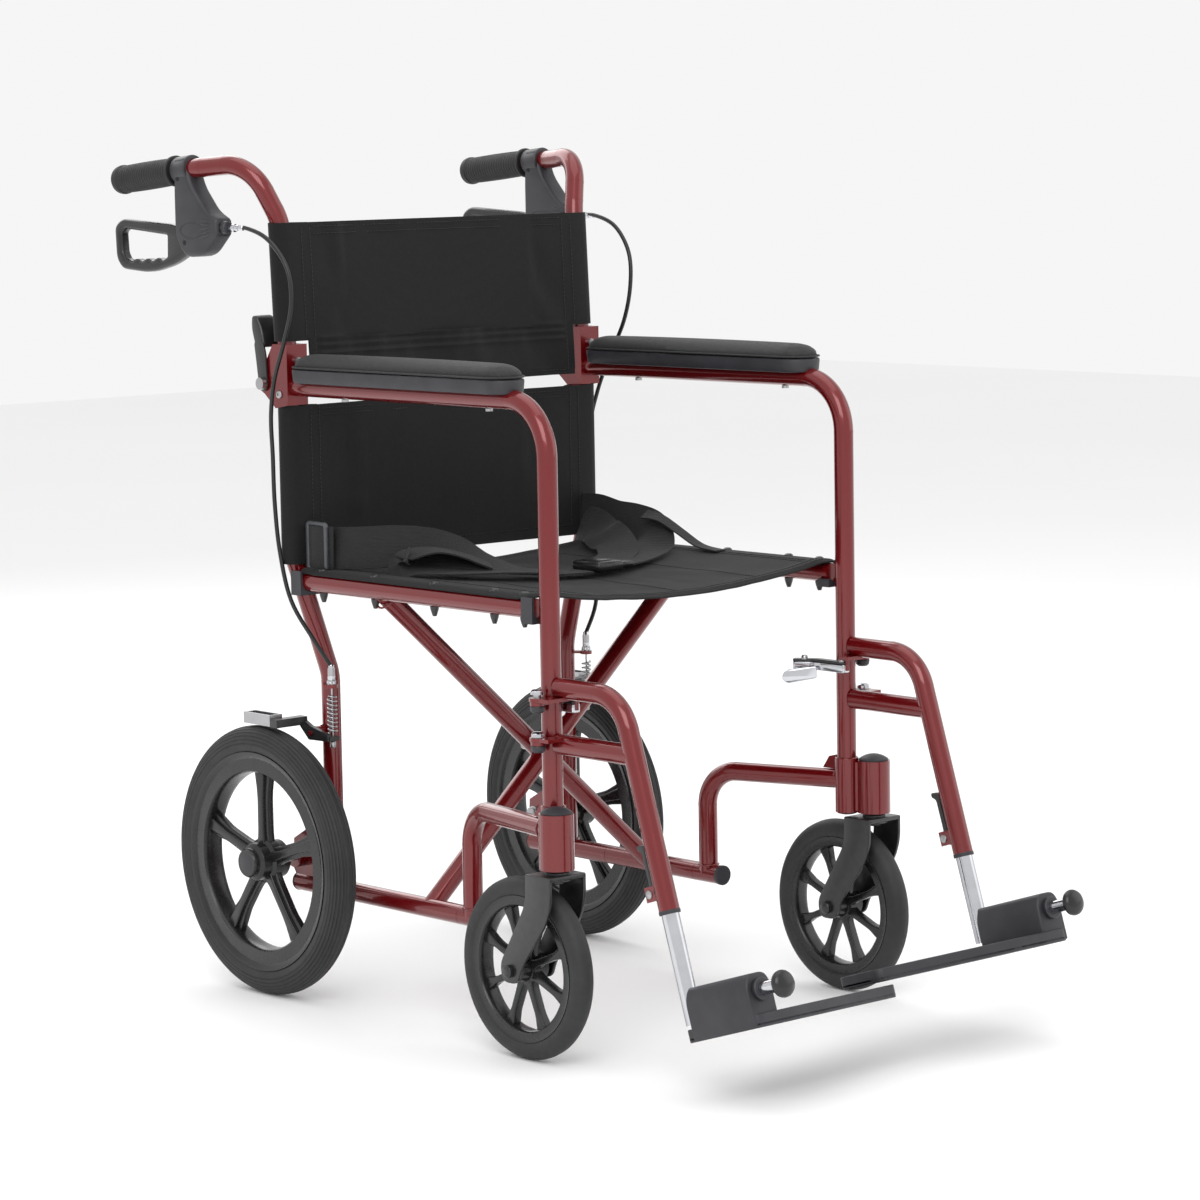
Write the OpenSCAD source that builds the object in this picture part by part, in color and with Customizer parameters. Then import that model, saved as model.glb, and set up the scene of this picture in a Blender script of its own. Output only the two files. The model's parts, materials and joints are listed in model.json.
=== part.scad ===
// Folding transport wheelchair: an assembly of separate named pieces.
// The chair faces -Y, +X is the sitter's left and the floor is z = 0. Pieces are drawn from the line of
// the rear axles, and placed() then moves that line so that y = 0 is the middle of the chair's length.
// Every paired piece is drawn for the left side and mirrored for the right.

/* [Frame] */
// Half of the distance between the two side frames
side_x = 222; // [218:1:226]
// Half of the distance between the two lower rails
lower_x = 180; // [178:1:182]
// Outside diameter of the frame tube
tube_d = 22.2; // [21.6:0.1:22.6]
// Height of the armrest tube
arm_z = 709; // [705:1:715]
// Height of the seat rail
seat_z = 487; // [485:1:489]
// Height of the lower rail
lower_z = 124; // [122:1:126]
// Distance of the front upright ahead of the rear axle
front_y = 493; // [491:1:495]

/* [Wheels] */
// Diameter of the rear wheel
rear_wheel_d = 315; // [312:1:316]
// Diameter of the front wheel
front_wheel_d = 200; // [196:1:201]
// Distance of the front wheel's axle behind its swivel
caster_trail = 51; // [48:1:53]

/* [Footrests] */
// Lean of the footrest tubes from upright
foot_lean = 17.8; // [17:0.1:18.5]
// Length of extension showing below the right footrest tube
right_reach = 119; // [115:1:122]
// Length of extension showing below the left footrest tube
left_reach = 100; // [97:1:102]
// Length of the footplate from its hinge bar towards the middle
plate_len = 235; // [225:1:236]

/* [Hidden] */
$fn = 48;
rear_axle_y = 318.5;      // rear axles behind the middle of the chair

tube_r = tube_d / 2;
rear_y = 48;              // rear upright ahead of the rear axle
leg_y = 56;               // lower half of the rear leg ahead of the rear axle
upright_top = 724;
housing_x = side_x + 18;
housing_y = front_y + 25;
housing_z = 214;
housing_h = 60;
housing_r = 19;
stem_r = 6;
running = 0.05;           // radial clearance of a running fit
joint_gap = 0.5;          // space between a run of tube and its bend, closed by the weld band
band_half = 1.5;
band_rise = 0.1;
axle_z = rear_wheel_d / 2;
axle_r = 6;
wheel_x = 237;            // middle of the rear tyre
pivot_y = 22;             // back pivot ahead of the rear axle
pivot_z = 712;
pivot_r = 4;
grip_x = 265;
grip_z = 957;
grip_y = 60;              // where the straight handle begins, behind the rear axle
handle_end = 205;
handle_drop = 13;
brace_front_y = 229;
brace_rear_y = 205;
foot_back_y = 132.5;      // rear end of the turning tube at the foot of a brace
foot_front_y = 287.5;
rod_r = 7.5;
cross_z = lower_z + (seat_z - lower_z) * lower_x / (lower_x + side_x);
hanger_z = 405;
hanger_low_z = 345;
hanger_pin_x = side_x + 23;
hanger_pin_y = front_y + 4;
hanger_start_y = front_y + 13;
hanger_bend_y = front_y + 111;
hanger_len = 229;
ext_r = 9.5;
bar_r = 7;
bar_up = 20;              // hinge bar above the lower end of the extension tube
lug_t = 4;
lug_high = 388;           // undersides of the two frame lugs that carry a footrest
lug_low = 345.5;
lever_pivot = [grip_x, 66, 872];
arm_pivot_y = 50;         // brake arm pivot ahead of the rear axle
arm_pivot_z = 308;
cable_x = 195;
cable_y = 77;
red = [0.50, 0.03, 0.06];
black = [0.06, 0.06, 0.065];
rubber_black = [0.09, 0.09, 0.095];
steel = [0.75, 0.76, 0.78];
cloth_black = [0.03, 0.03, 0.035];

function unit(v) = v / norm(v);
function across(v) = abs(v[2]) < 0.9 ? unit(cross(v, [0, 0, 1])) : unit(cross(v, [1, 0, 0]));
function frame_of(e1, e2, e3, p) = [
    [e1[0], e2[0], e3[0], p[0]],
    [e1[1], e2[1], e3[1], p[1]],
    [e1[2], e2[2], e3[2], p[2]],
    [0, 0, 0, 1]
];
function turn_at(pts, i) =
    i <= 0 || i >= len(pts) - 1 ? 0 :
    let (u = unit(pts[i] - pts[i - 1]), v = unit(pts[i + 1] - pts[i])) acos(u * v);
function trim_at(pts, bends, i) = bends[i] * tan(turn_at(pts, i) / 2);

// A round bar between two points
module bar(a, b, r) {
    v = unit(b - a);
    e1 = across(v);
    multmatrix(frame_of(e1, cross(v, e1), v, a)) cylinder(r = r, h = norm(b - a));
}

// A tube along straight runs joined by true round bends; bends has one radius for each point.
// A fine weld band covers each joint between a run and a bend.
module bent_tube(pts, bends, r) {
    last = len(pts) - 1;
    for (i = [0 : last - 1]) {
        u = unit(pts[i + 1] - pts[i]);
        from = trim_at(pts, bends, i) + (i == 0 ? 0 : joint_gap);
        to = trim_at(pts, bends, i + 1) + (i == last - 1 ? 0 : joint_gap);
        bar(pts[i] + u * from, pts[i + 1] - u * to, r);
    }
    for (i = [1 : len(pts) - 2]) {
        u = unit(pts[i] - pts[i - 1]);
        v = unit(pts[i + 1] - pts[i]);
        n = unit(cross(u, v));
        inward = cross(n, u);
        trim = trim_at(pts, bends, i);
        start = pts[i] - u * trim;
        bar(start - u * band_half, start + u * band_half, r + band_rise);
        bar(pts[i] + v * (trim - band_half), pts[i] + v * (trim + band_half), r + band_rise);
        multmatrix(frame_of(-inward, u, -n, start + inward * bends[i]))
            mirror([0, 0, 1])
            rotate_extrude(angle = turn_at(pts, i)) translate([bends[i], 0]) circle(r);
    }
}

// A plate drawn in Y and Z, centred on x
module side_plate(x, t, pts) {
    translate([x - t / 2, 0, 0]) rotate([90, 0, 90]) linear_extrude(t) polygon(pts);
}

// A bar along X, centred on x
module cross_bar(x, y, z, r, h) {
    translate([x - h / 2, y, z]) rotate([0, 90, 0]) cylinder(r = r, h = h);
}

// A bar along Y from y0 to y1
module long_bar(x, y0, y1, z, r) {
    translate([x, y0, z]) rotate([-90, 0, 0]) cylinder(r = r, h = y1 - y0);
}

module placed() {
    translate([0, rear_axle_y, 0]) children();
}

module right_side() {
    mirror([1, 0, 0]) children();
}

// Footrest slant: origin at the upper bend of the hanger, -Z down the tube, -Y along the hinge bar
module on_slant(down = 0) {
    translate([side_x, -hanger_bend_y, hanger_z]) rotate([-foot_lean, 0, 0]) translate([0, 0, -down])
        children();
}

// ---- side frame ----
module frame_side() {
    color(red) difference() {
        union() {
            bent_tube([[side_x, -front_y, housing_z], [side_x, -front_y, arm_z],
                       [side_x, -rear_y, arm_z]], [0, 60, 0], tube_r);
            bent_tube([[side_x, -rear_y, upright_top], [side_x, -rear_y, 515],
                       [lower_x, -leg_y, 375], [lower_x, -leg_y, lower_z]], [0, 60, 60, 0], tube_r);
            bent_tube([[lower_x, -305, lower_z], [lower_x, -305, 247],
                       [side_x, -front_y + 4, 251]], [0, 42, 0], tube_r);
            long_bar(lower_x, -foot_back_y, 10, lower_z, tube_r);
            long_bar(lower_x, -326, -foot_front_y - 0.5, lower_z, tube_r);
            long_bar(lower_x, -320, -10, lower_z, rod_r);
            translate([side_x, -front_y, housing_z]) cylinder(r = 13.5, h = housing_h + 2);
            translate([housing_x, -housing_y, housing_z]) cylinder(r = housing_r, h = housing_h);
            frame_details();
        }
        translate([housing_x, -housing_y, housing_z - 1]) cylinder(r = stem_r + running, h = housing_h - 10);
        cross_bar(side_x, -pivot_y, pivot_z, pivot_r + running, 60);
        cross_bar(lower_x, 0, axle_z, axle_r + running, 40);
        for (z = [lug_high, lug_low])
            translate([hanger_pin_x, -hanger_pin_y, z - 1]) cylinder(r = 4 + running, h = lug_t + 2);
        translate([cable_x, -cable_y, 350]) cylinder(r = 3.5, h = 30);
    }
}

module frame_details() {
    // axle plate between the rear leg and the rear axle
    side_plate(lower_x + 2, 8, [[-64, 128], [-64, 205], [-40, 205], [14, 175], [16, 140], [8, 128]]);
    cross_bar(lower_x + 8, 0, axle_z, 14, 20);
    // bracket that carries the folding back
    for (s = [-1, 1])
        side_plate(side_x + s * 13, 3, [[-63, 688], [-63, 757], [-37, 757], [-11, 718],
                   [-12, 704], [-20, 700], [-40, 684]]);
    translate([side_x - 14.5, -63, 688]) cube([29, 5, 69]);
    // lug for the brake arm and tab for the cable
    cross_bar(lower_x + 12, -arm_pivot_y, arm_pivot_z, 7, 14);
    cross_bar(lower_x + 21.5, -arm_pivot_y, arm_pivot_z, 3, 13.5);
    side_plate(lower_x + 8, 6, [[-56, 298], [-56, 318], [-48, 315], [-44, 308], [-48, 301]]);
    translate([lower_x, -leg_y - 5, 362.5]) rotate([0, 0, -53]) cube([25, 12, 3]);
    translate([cable_x, -cable_y, 362]) cylinder(r = 7, h = 4);
    // lugs for the footrest pins
    for (z = [lug_high, lug_low]) {
        translate([hanger_pin_x, -hanger_pin_y, z]) cylinder(r = 8, h = lug_t);
        translate([side_x, -front_y - 8, z]) cube([hanger_pin_x - side_x, 12, lug_t]);
    }
    // web between the upright and the caster housing
    translate([side_x, -front_y, housing_z + 2]) rotate([0, 0, -54]) translate([0, -8, 0])
        cube([30, 16, housing_h - 4]);
    // small gusset above the front L-shaped tube
    side_plate(side_x - 3, 3, [[-front_y, 262], [-front_y, 282], [-front_y + 24, 276], [-front_y + 34, 262]]);
}

module trim_side() {
    color(black) {
        // domed cap over the caster housing
        translate([housing_x, -housing_y, housing_z + housing_h + 0.05]) rotate_extrude() intersection() {
            translate([0, -20]) circle(r = 27.5);
            square([16.8, 12]);
        }
        // end cap of the lower rail
        long_bar(lower_x, -330, -326.05, lower_z, 11.6);
        // saddles that the seat rail drops into
        for (y = [-front_y + 12, -rear_y - 30])
            difference() {
                translate([side_x - 14, y, seat_z - 15]) cube([28.5, 18, 28]);
                long_bar(side_x, y - 1, y + 19, seat_z, tube_r + 0.3);
                translate([side_x - 15, y - 1, seat_z]) cube([15 + tube_r + 0.3, 20, 30]);
                translate([side_x - 15, y - 1, seat_z - 6]) cube([8, 20, 30]);
                translate([side_x, -front_y, seat_z - 20]) cylinder(r = tube_r + 0.05, h = 40);
                bar([side_x, -rear_y, 515], [lower_x, -leg_y, 375], tube_r + 0.9);
            }
    }
}

module screws_side() {
    color(steel) {
        // back pivot bolt
        cross_bar(side_x, -pivot_y, pivot_z, pivot_r, 44);
        cross_bar(side_x + 20.9, -pivot_y, pivot_z, 7, 5);
        cross_bar(side_x - 17.5, -pivot_y, pivot_z, 6.5, 5);
        // bracket screw head
        long_bar(side_x, -66.5, -63.05, 738, 4.5);
        // armrest screw heads
        for (y = [-150, -400])
            translate([side_x, y, arm_z - tube_r - 3]) cylinder(r = 4, h = 2.95);
        // footrest pins
        translate([hanger_pin_x, -hanger_pin_y, lug_high - 6]) cylinder(r = 4, h = 22);
        translate([hanger_pin_x, -hanger_pin_y, lug_low - 6]) cylinder(r = 4, h = 20);
        // cable adjuster on the tab
        translate([cable_x, -cable_y, 366.05]) cylinder(r = 5.5, h = 5, $fn = 6);
        translate([cable_x, -cable_y, 371.05]) cylinder(r = 4.2, h = 14);
        // rear axle bolt
        cross_bar(lower_x + 36.5, 0, axle_z, axle_r, 87);
        cross_bar(lower_x - 4.7, 0, axle_z, 10, 5);
    }
}

module arm_base_side() {
    color(black) difference() {
        translate([side_x, 0, 0]) pad_block(25, arm_z + 6, 15);
        long_bar(side_x, -front_y, -rear_y, arm_z, tube_r + 0.2);
    }
}

// A long block with half-round ends above the armrest tube
module pad_block(half, z, h) {
    translate([0, -445 + half, z]) cylinder(r = half, h = h);
    translate([0, -70 - half, z]) cylinder(r = half, h = h);
    translate([-half, -445 + half, z]) cube([half * 2, 375 - half * 2, h]);
}

module arm_pad_side() {
    color(cloth_black) translate([side_x, 0, 0]) pad_block(27, arm_z + 21.3, 17);
}

// ---- folding back ----
module cane_side() {
    color(red) difference() {
        union() {
            bent_tube([[side_x, -46, 729], [side_x, -38, 896], [246, -16, 962], [grip_x, grip_y, grip_z],
                       [grip_x, handle_end, grip_z - handle_drop]], [0, 60, 50, 80, 0], tube_r);
            side_plate(side_x, 14, [[-46, 733], [-46, 748], [-40, 752], [-12, 718], [-14, 706],
                       [-24, 701], [-34, 709], [-34, 733]]);
        }
        cross_bar(side_x, -pivot_y, pivot_z, pivot_r + running, 60);
    }
}

// Things drawn along the straight handle, measured from its start; the handle points down +Z
module on_handle() {
    v = unit([0, handle_end - grip_y, -handle_drop]);
    multmatrix(frame_of([1, 0, 0], cross(v, [1, 0, 0]), v, [grip_x, grip_y, grip_z])) children();
}

module grip_side() {
    color(rubber_black) difference() {
        on_handle() {
            translate([0, 0, 37]) cylinder(r = 18, h = 5);
            translate([0, 0, 42]) cylinder(r = 15.5, h = 104);
            for (i = [0 : 11]) translate([0, 0, 50 + i * 7]) cylinder(r = 16.3, h = 3.5);
            translate([0, 0, 146]) cylinder(r = 17, h = 5);
        }
        on_handle() translate([0, 0, 30]) cylinder(r = tube_r + 0.05, h = 115.9);
    }
}

module brake_housing_side() {
    color(black) difference() {
        union() {
            side_plate(grip_x, 27, [[94, 930], [92, 970], [66, 973], [60, 943], [26, 908], [9, 899],
                       [10, 880], [40, 856], [76, 854], [92, 880]]);
            long_bar(grip_x, 2, 12, 889, 7);
        }
        on_handle() translate([0, 0, -20]) cylinder(r = tube_r + 0.2, h = 80);
        translate([grip_x - 5.5, 40, 840]) cube([11, 80, 60]);
        long_bar(grip_x, 0, 50, 889, 2.6);
    }
    color(black) cross_bar(grip_x, lever_pivot[1], lever_pivot[2], 3, 16);
}

module brake_lever_side() {
    color(black) difference() {
        union() {
            cross_bar(grip_x, lever_pivot[1], lever_pivot[2], 9, 10);
            side_plate(grip_x, 10, [[58, 868], [60, 880], [106, 890], [106, 850], [70, 864]]);
            side_plate(grip_x, 15, [[104, 891], [206, 897], [218, 888], [216, 850], [206, 840],
                       [150, 838], [104, 846]]);
        }
        side_plate(grip_x, 20, [[112, 881], [200, 886], [207, 880], [205, 856], [198, 850],
                   [150, 849], [113, 856]]);
        cross_bar(grip_x, lever_pivot[1], lever_pivot[2], 3 + running, 30);
    }
}

module release_lever_side() {
    color(black) difference() {
        union() {
            cross_bar(side_x + 16.5, -pivot_y, pivot_z, 8, 3);
            side_plate(side_x + 16.5, 3, [[-29, 712], [-26, 745], [-20, 758], [-6, 758], [-10, 735], [-15, 712]]);
            side_plate(side_x + 5, 26, [[-24, 752], [-20, 772], [-10, 788], [-2, 788], [-1, 776], [-8, 752]]);
        }
        cross_bar(side_x, -pivot_y, pivot_z, pivot_r + running, 60);
    }
}

cable_way = [
    [grip_x, 0, 889], [grip_x - 1, -30, 889], [grip_x - 3, -68, 876], [grip_x - 7, -96, 845],
    [grip_x - 9, -100, 805], [grip_x - 8, -86, 762], [grip_x - 11, -62, 718], [248, -46, 676],
    [241, -38, 630], [240, -38, 575], [239, -44, 520], [234, -56, 465], [216, -72, 420], [cable_x, -77, 387]
];

// A soft curve through hand-set points: position t along the list
function soft(pts, t) =
    let (
        last = len(pts) - 1,
        i = min(floor(t), last - 1),
        f = t - i,
        a = pts[max(i - 1, 0)],
        b = pts[i],
        c = pts[i + 1],
        d = pts[min(i + 2, last)]
    )
    0.5 * (2 * b + (c - a) * f + (2 * a - 5 * b + 4 * c - d) * f * f + (3 * b - a - 3 * c + d) * f * f * f);

function ring_at(pts, t, r, sides) =
    let (
        p = soft(pts, t),
        v = unit(soft(pts, min(t + 0.05, len(pts) - 1)) - soft(pts, max(t - 0.05, 0))),
        e1 = unit(cross(v, [1, 0, 0.01])),
        e2 = cross(v, e1)
    )
    [for (k = [0 : sides - 1]) p + r * (cos(360 * k / sides) * e1 + sin(360 * k / sides) * e2)];

// A round cord swept along hand-set points
module cord(pts, r, sides, rings) {
    steps = rings - 1;
    all = [for (j = [0 : steps]) each ring_at(pts, j * (len(pts) - 1) / steps, r, sides)];
    walls = [for (j = [0 : steps - 1], k = [0 : sides - 1])
        [j * sides + k, j * sides + (k + 1) % sides, (j + 1) * sides + (k + 1) % sides, (j + 1) * sides + k]];
    ends = [[for (k = [sides - 1 : -1 : 0]) k], [for (k = [0 : sides - 1]) steps * sides + k]];
    polyhedron(all, concat(walls, ends), convexity = 6);
}

module brake_cable_side() {
    color(black) cord(cable_way, 2.5, 8, 66);
}

// ---- brake at the wheel ----
module brake_arm_side() {
    color([0.16, 0.16, 0.17]) difference() {
        union() {
            cross_bar(204, -arm_pivot_y, arm_pivot_z, 8, 5);
            side_plate(204, 5, [[-82, 301], [-82, 309], [-50, 316], [-28, 326], [-26, 318], [-46, 300]]);
            translate([201.5, -38, 316.5]) cube([44.5, 12.9, 9.5]);
            translate([190, -83, 301]) cube([14, 12, 5]);
        }
        cross_bar(204, -arm_pivot_y, arm_pivot_z, 3 + running, 30);
        translate([cable_x, -cable_y, 290]) cylinder(r = 1.8, h = 30);
    }
}

module brake_shoe_side() {
    color(steel) translate([wheel_x - 9, -25, axle_z + 159.7]) difference() {
        cube([18, 50, 13]);
        translate([3, 3, 3]) cube([12, 44, 13]);
    }
}

module brake_spring_side() {
    color(steel) {
        translate([cable_x, -cable_y, 309]) rotate_extrude() {
            translate([4, -1.2]) square([1, 46.8]);
            for (i = [0 : 6]) translate([5, i * 7.4]) circle(r = 1.2, $fn = 16);
        }
        translate([cable_x, -cable_y, 297]) cylinder(r = 1.1, h = 68);
    }
}

// ---- rear wheel ----
module rear_rim_side() {
    color(black) difference() {
        union() {
            translate([wheel_x, 0, axle_z]) rotate([0, 90, 0]) {
                rotate_extrude($fn = 96) polygon([[104, -13], [128, -15], [128, 15], [104, 13]]);
                translate([0, 0, -20]) cylinder(r = 22, h = 42);
                translate([0, 0, 22]) cylinder(r = 17, h = 8);
                for (i = [0 : 4]) rotate([0, 0, i * 72]) translate([15, -9, -8]) cube([93, 18, 16]);
            }
        }
        cross_bar(wheel_x - 10, 0, axle_z, axle_r + running, 70);
    }
}

module rear_tyre_side() {
    color(rubber_black) translate([wheel_x, 0, axle_z]) rotate([0, 90, 0]) rotate_extrude($fn = 96)
        polygon([[128.1, -15], [136, -17.5], [146, -16], [153, -11.5], [axle_z - 0.5, -5.5], [axle_z, 0],
                 [axle_z - 0.5, 5.5], [153, 11.5], [146, 16], [136, 17.5], [128.1, 15]]);
}

// ---- caster ----
caster_y = housing_y - caster_trail;
caster_z = front_wheel_d / 2;

module caster_fork_side() {
    color(black) difference() {
        union() {
            translate([housing_x - 26, -housing_y - 17, 204]) cube([52, 40, 5]);
            translate([housing_x, -housing_y, 209]) cylinder(r = 13, h = 3);
            for (s = [-1, 1])
                side_plate(housing_x + s * 24, 4, [[-housing_y - 17, 209], [-housing_y + 23, 209],
                           [-housing_y + 22, 180], [-caster_y + 17, caster_z + 2],
                           [-caster_y + 9, caster_z - 13], [-caster_y - 9, caster_z - 13],
                           [-caster_y - 18, caster_z + 4], [-housing_y - 12, 160], [-housing_y - 17, 185]]);
        }
        translate([housing_x, -housing_y, 200]) cylinder(r = stem_r + 0.02, h = 20);
        cross_bar(housing_x, -caster_y, caster_z, 4 + running, 80);
    }
}

module caster_bolts_side() {
    color(steel) {
        translate([housing_x, -housing_y, 197]) cylinder(r = stem_r, h = 64);
        translate([housing_x, -housing_y, 198.5]) cylinder(r = 9, h = 5.45, $fn = 6);
        cross_bar(housing_x, -caster_y, caster_z, 4, 60);
        for (s = [-1, 1]) cross_bar(housing_x + s * 28.5, -caster_y, caster_z, 7, 4.9);
    }
}

module caster_rim_side() {
    color(black) difference() {
        translate([housing_x, -caster_y, caster_z]) rotate([0, 90, 0]) {
            rotate_extrude($fn = 72) polygon([[68, -10], [80, -11], [80, 11], [68, 10]]);
            translate([0, 0, -20]) cylinder(r = 14, h = 40);
            for (i = [0 : 7]) rotate([0, 0, i * 45]) translate([10, -4, -6]) cube([60, 8, 12]);
        }
        cross_bar(housing_x, -caster_y, caster_z, 4 + running, 80);
    }
}

module caster_tyre_side() {
    color(rubber_black) translate([housing_x, -caster_y, caster_z]) rotate([0, 90, 0])
        rotate_extrude($fn = 72) polygon([[80.1, -11], [87, -12.5], [94, -11], [caster_z - 1.5, -6],
            [caster_z, 0], [caster_z - 1.5, 6], [94, 11], [87, 12.5], [80.1, 11]]);
}

// ---- folding cross ----
// A brace from the right lower rail up to the left seat rail
module brace(y) {
    color(red) difference() {
        union() {
            long_bar(-lower_x, -foot_front_y, -foot_back_y - 0.5, lower_z, tube_r);
            bar([-lower_x, -y, lower_z], [side_x, -y, seat_z], tube_r);
            long_bar(side_x, -front_y + 19, -rear_y - 16, seat_z, tube_r);
        }
        long_bar(-lower_x, -320, -100, lower_z, rod_r + running);
        long_bar(0, -y - 20, -y + 20, cross_z, 4 + running);
    }
}

module brace_bolt() {
    color(steel) {
        long_bar(0, -brace_front_y - 14, -brace_rear_y + 14, cross_z, 4);
        long_bar(0, -brace_front_y - 15, -brace_front_y - tube_r - 0.3, cross_z, 7);
        long_bar(0, -brace_rear_y + tube_r + 0.3, -brace_rear_y + 17, cross_z, 7);
        long_bar(0, -brace_front_y + tube_r + 0.3, -brace_rear_y - tube_r - 0.3, cross_z, 9);
    }
}

// ---- footrest ----
module hanger_side() {
    low_y = hanger_bend_y + (hanger_z - hanger_low_z) * tan(foot_lean);
    foot = [side_x, -hanger_bend_y - hanger_len * sin(foot_lean), hanger_z - hanger_len * cos(foot_lean)];
    color(red) difference() {
        union() {
            bent_tube([[side_x, -hanger_start_y, hanger_z], [side_x, -hanger_bend_y, hanger_z], foot],
                      [0, 50, 0], tube_r);
            long_bar(side_x, -low_y, -hanger_start_y, hanger_low_z, tube_r);
            for (z = [lug_high + lug_t + 0.3, lug_low + lug_t + 0.3]) {
                translate([hanger_pin_x, -hanger_pin_y, z]) cylinder(r = 9, h = lug_t);
                translate([side_x - 4, -hanger_start_y - 14, z]) cube([hanger_pin_x - side_x + 10, 15, lug_t]);
            }
            translate([side_x - 24, -hanger_start_y - 14, lug_high + lug_t + 0.3]) cube([24, 14, lug_t]);
            // ears for the height lever
            on_slant() for (s = [-1, 1]) translate([s * 6.5 - 1, 6, -hanger_len + 14]) cube([2, 17, 16]);
        }
        for (z = [lug_high, lug_low]) translate([hanger_pin_x, -hanger_pin_y, z]) cylinder(r = 4 + running, h = 12);
        translate([side_x, -front_y, 300]) cylinder(r = tube_r + 0.6, h = 150);
        on_slant(hanger_len + 5) cylinder(r = ext_r + 0.1, h = 185);
    }
    color(red) {
        // pins of the latch lever and the height lever
        translate([side_x - 18, -hanger_start_y - 7, lug_high - 8]) cylinder(r = 2.5, h = 12.6);
        on_slant() translate([-6, 17, -hanger_len + 22]) rotate([0, 90, 0]) cylinder(r = 2.5, h = 12);
    }
}

module latch_side() {
    color(steel) difference() {
        union() {
            translate([side_x - 18, -hanger_start_y - 7, lug_high - 6]) cylinder(r = 6, h = 9.5);
            translate([side_x - 24, -hanger_start_y - 7, lug_high - 6]) cube([8, 44, 7]);
            translate([side_x - 24, -hanger_start_y + 30, lug_high - 6]) rotate([0, 0, 38])
                cube([8, 34, 7]);
            translate([side_x - 46, -hanger_start_y + 50, lug_high - 16]) rotate([0, 0, 38])
                cube([10, 18, 12]);
        }
        translate([side_x - 18, -hanger_start_y - 7, lug_high - 20]) cylinder(r = 2.5 + running, h = 40);
    }
}

module height_lever_side() {
    color(black) on_slant() difference() {
        union() {
            translate([-4.5, 17, -hanger_len + 22]) rotate([0, 90, 0]) cylinder(r = 5, h = 9);
            translate([-4.5, 13.5, -hanger_len + 22]) cube([9, 5, 50]);
            translate([-4.5, 14, -hanger_len + 68]) cube([9, 10, 5]);
        }
        translate([-9, 17, -hanger_len + 22]) rotate([0, 90, 0]) cylinder(r = 2.5 + running, h = 20);
    }
}

module extension(reach) {
    color(steel) on_slant(hanger_len + reach) {
        cylinder(r = ext_r, h = reach + 110);
        translate([0, 0, bar_up]) rotate([90, 0, 0]) cylinder(r = bar_r, h = 136.5);
    }
}

module bar_knob(reach) {
    color(black) on_slant(hanger_len + reach) translate([0, -136.6, bar_up]) rotate([90, 0, 0])
        rotate_extrude() polygon([[0, 0], [9, 0], [9, 2], [13, 3], [14.3, 6], [13.5, 9.2], [9, 12.55], [4, 14], [0, 14.2]]);
}

module footplate(reach) {
    color(black) on_slant(hanger_len + reach) translate([0, 0, bar_up]) difference() {
        union() {
            translate([0, -12, 0]) rotate([90, 0, 0]) cylinder(r = 18.5, h = 96);
            translate([-18.5, -108, -38]) cube([37, 96, 38]);
            difference() {
                translate([0, 0, -38]) linear_extrude(14) polygon([[19, -2], [19, -112], [-40, -112],
                    [-plate_len, -66], [-plate_len, -2]]);
                // tray between the raised rims
                translate([0, 0, -32]) linear_extrude(20) polygon([[-24, -7], [-24, -107], [-41, -107],
                    [-plate_len + 5, -62], [-plate_len + 5, -7]]);
            }
            for (i = [0 : 4]) translate([-plate_len + 4, -15 - i * 10, -32.5]) cube([plate_len - 27, 4, 6]);
        }
        translate([0, 10, 0]) rotate([90, 0, 0]) cylinder(r = bar_r + running, h = 160);
    }
}

// ---- soft parts ----
sling_top = [[-230, 498.5], [-214, 499.5], [-160, 493], [-80, 487.5], [0, 486], [80, 487.5],
             [160, 493], [214, 499.5], [230, 498.5]];

module seat_sling() {
    k = side_x / 222;
    color(cloth_black) translate([0, -rear_y - 24, 0]) rotate([90, 0, 0])
        linear_extrude(front_y - rear_y - 46)
        polygon(concat([for (p = sling_top) [p[0] * k, p[1] + 3.2 + seat_z - 487]],
                       [for (i = [len(sling_top) - 1 : -1 : 0])
                           [sling_top[i][0] * k, sling_top[i][1] + 0.4 + seat_z - 487]]));
}

module back_upper() {
    lean = [0, 8, 167] / norm([0, 8, 167]);
    low = [side_x, -44.5, 760];
    high = low + lean * 134;
    color(cloth_black) difference() {
        union() {
            for (s = [-1, 1]) bar([s * low[0], low[1], low[2]], [s * high[0], high[1], high[2]], 14);
            translate([-side_x, low[1] - 13, low[2] + 1]) rotate([-2.75, 0, 0]) cube([2 * side_x, 3, 132]);
            translate([-side_x + 20, low[1] - 14, 700]) cube([2 * side_x - 40, 3, 65]);
        }
        for (s = [-1, 1])
            bar([s * side_x, -46, 729] - lean * 10, [s * side_x, -38, 896] + lean * 20, tube_r + 0.4);
        // the sleeves open out where the tubes start to bend back
        for (s = [-1, 1])
            bar([s * side_x, high[1], high[2]] - lean * 13, [s * side_x, high[1], high[2]] + lean * 2, tube_r + 1.4);
    }
}

module back_lower() {
    color(cloth_black) difference() {
        union() {
            for (s = [-1, 1]) translate([s * side_x, -rear_y, 518]) cylinder(r = 14, h = 160);
            translate([-side_x, -rear_y - 14.6, 512]) cube([2 * side_x, 3, 174]);
        }
        for (s = [-1, 1]) translate([s * side_x, -rear_y, 500]) cylinder(r = tube_r + 0.4, h = 200);
    }
}

// Webbing of the lap belt: a strip standing on edge and a strip lying on the sling, on each side
module lap_belt() {
    color(cloth_black) {
        translate([-208, -175, 506]) cube([3, 110, 48]);
        translate([-190, -300, 504]) cube([160, 48, 3]);
        translate([205, -165, 506]) cube([3, 100, 48]);
        translate([20, -330, 504]) cube([170, 48, 3]);
    }
}

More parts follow.
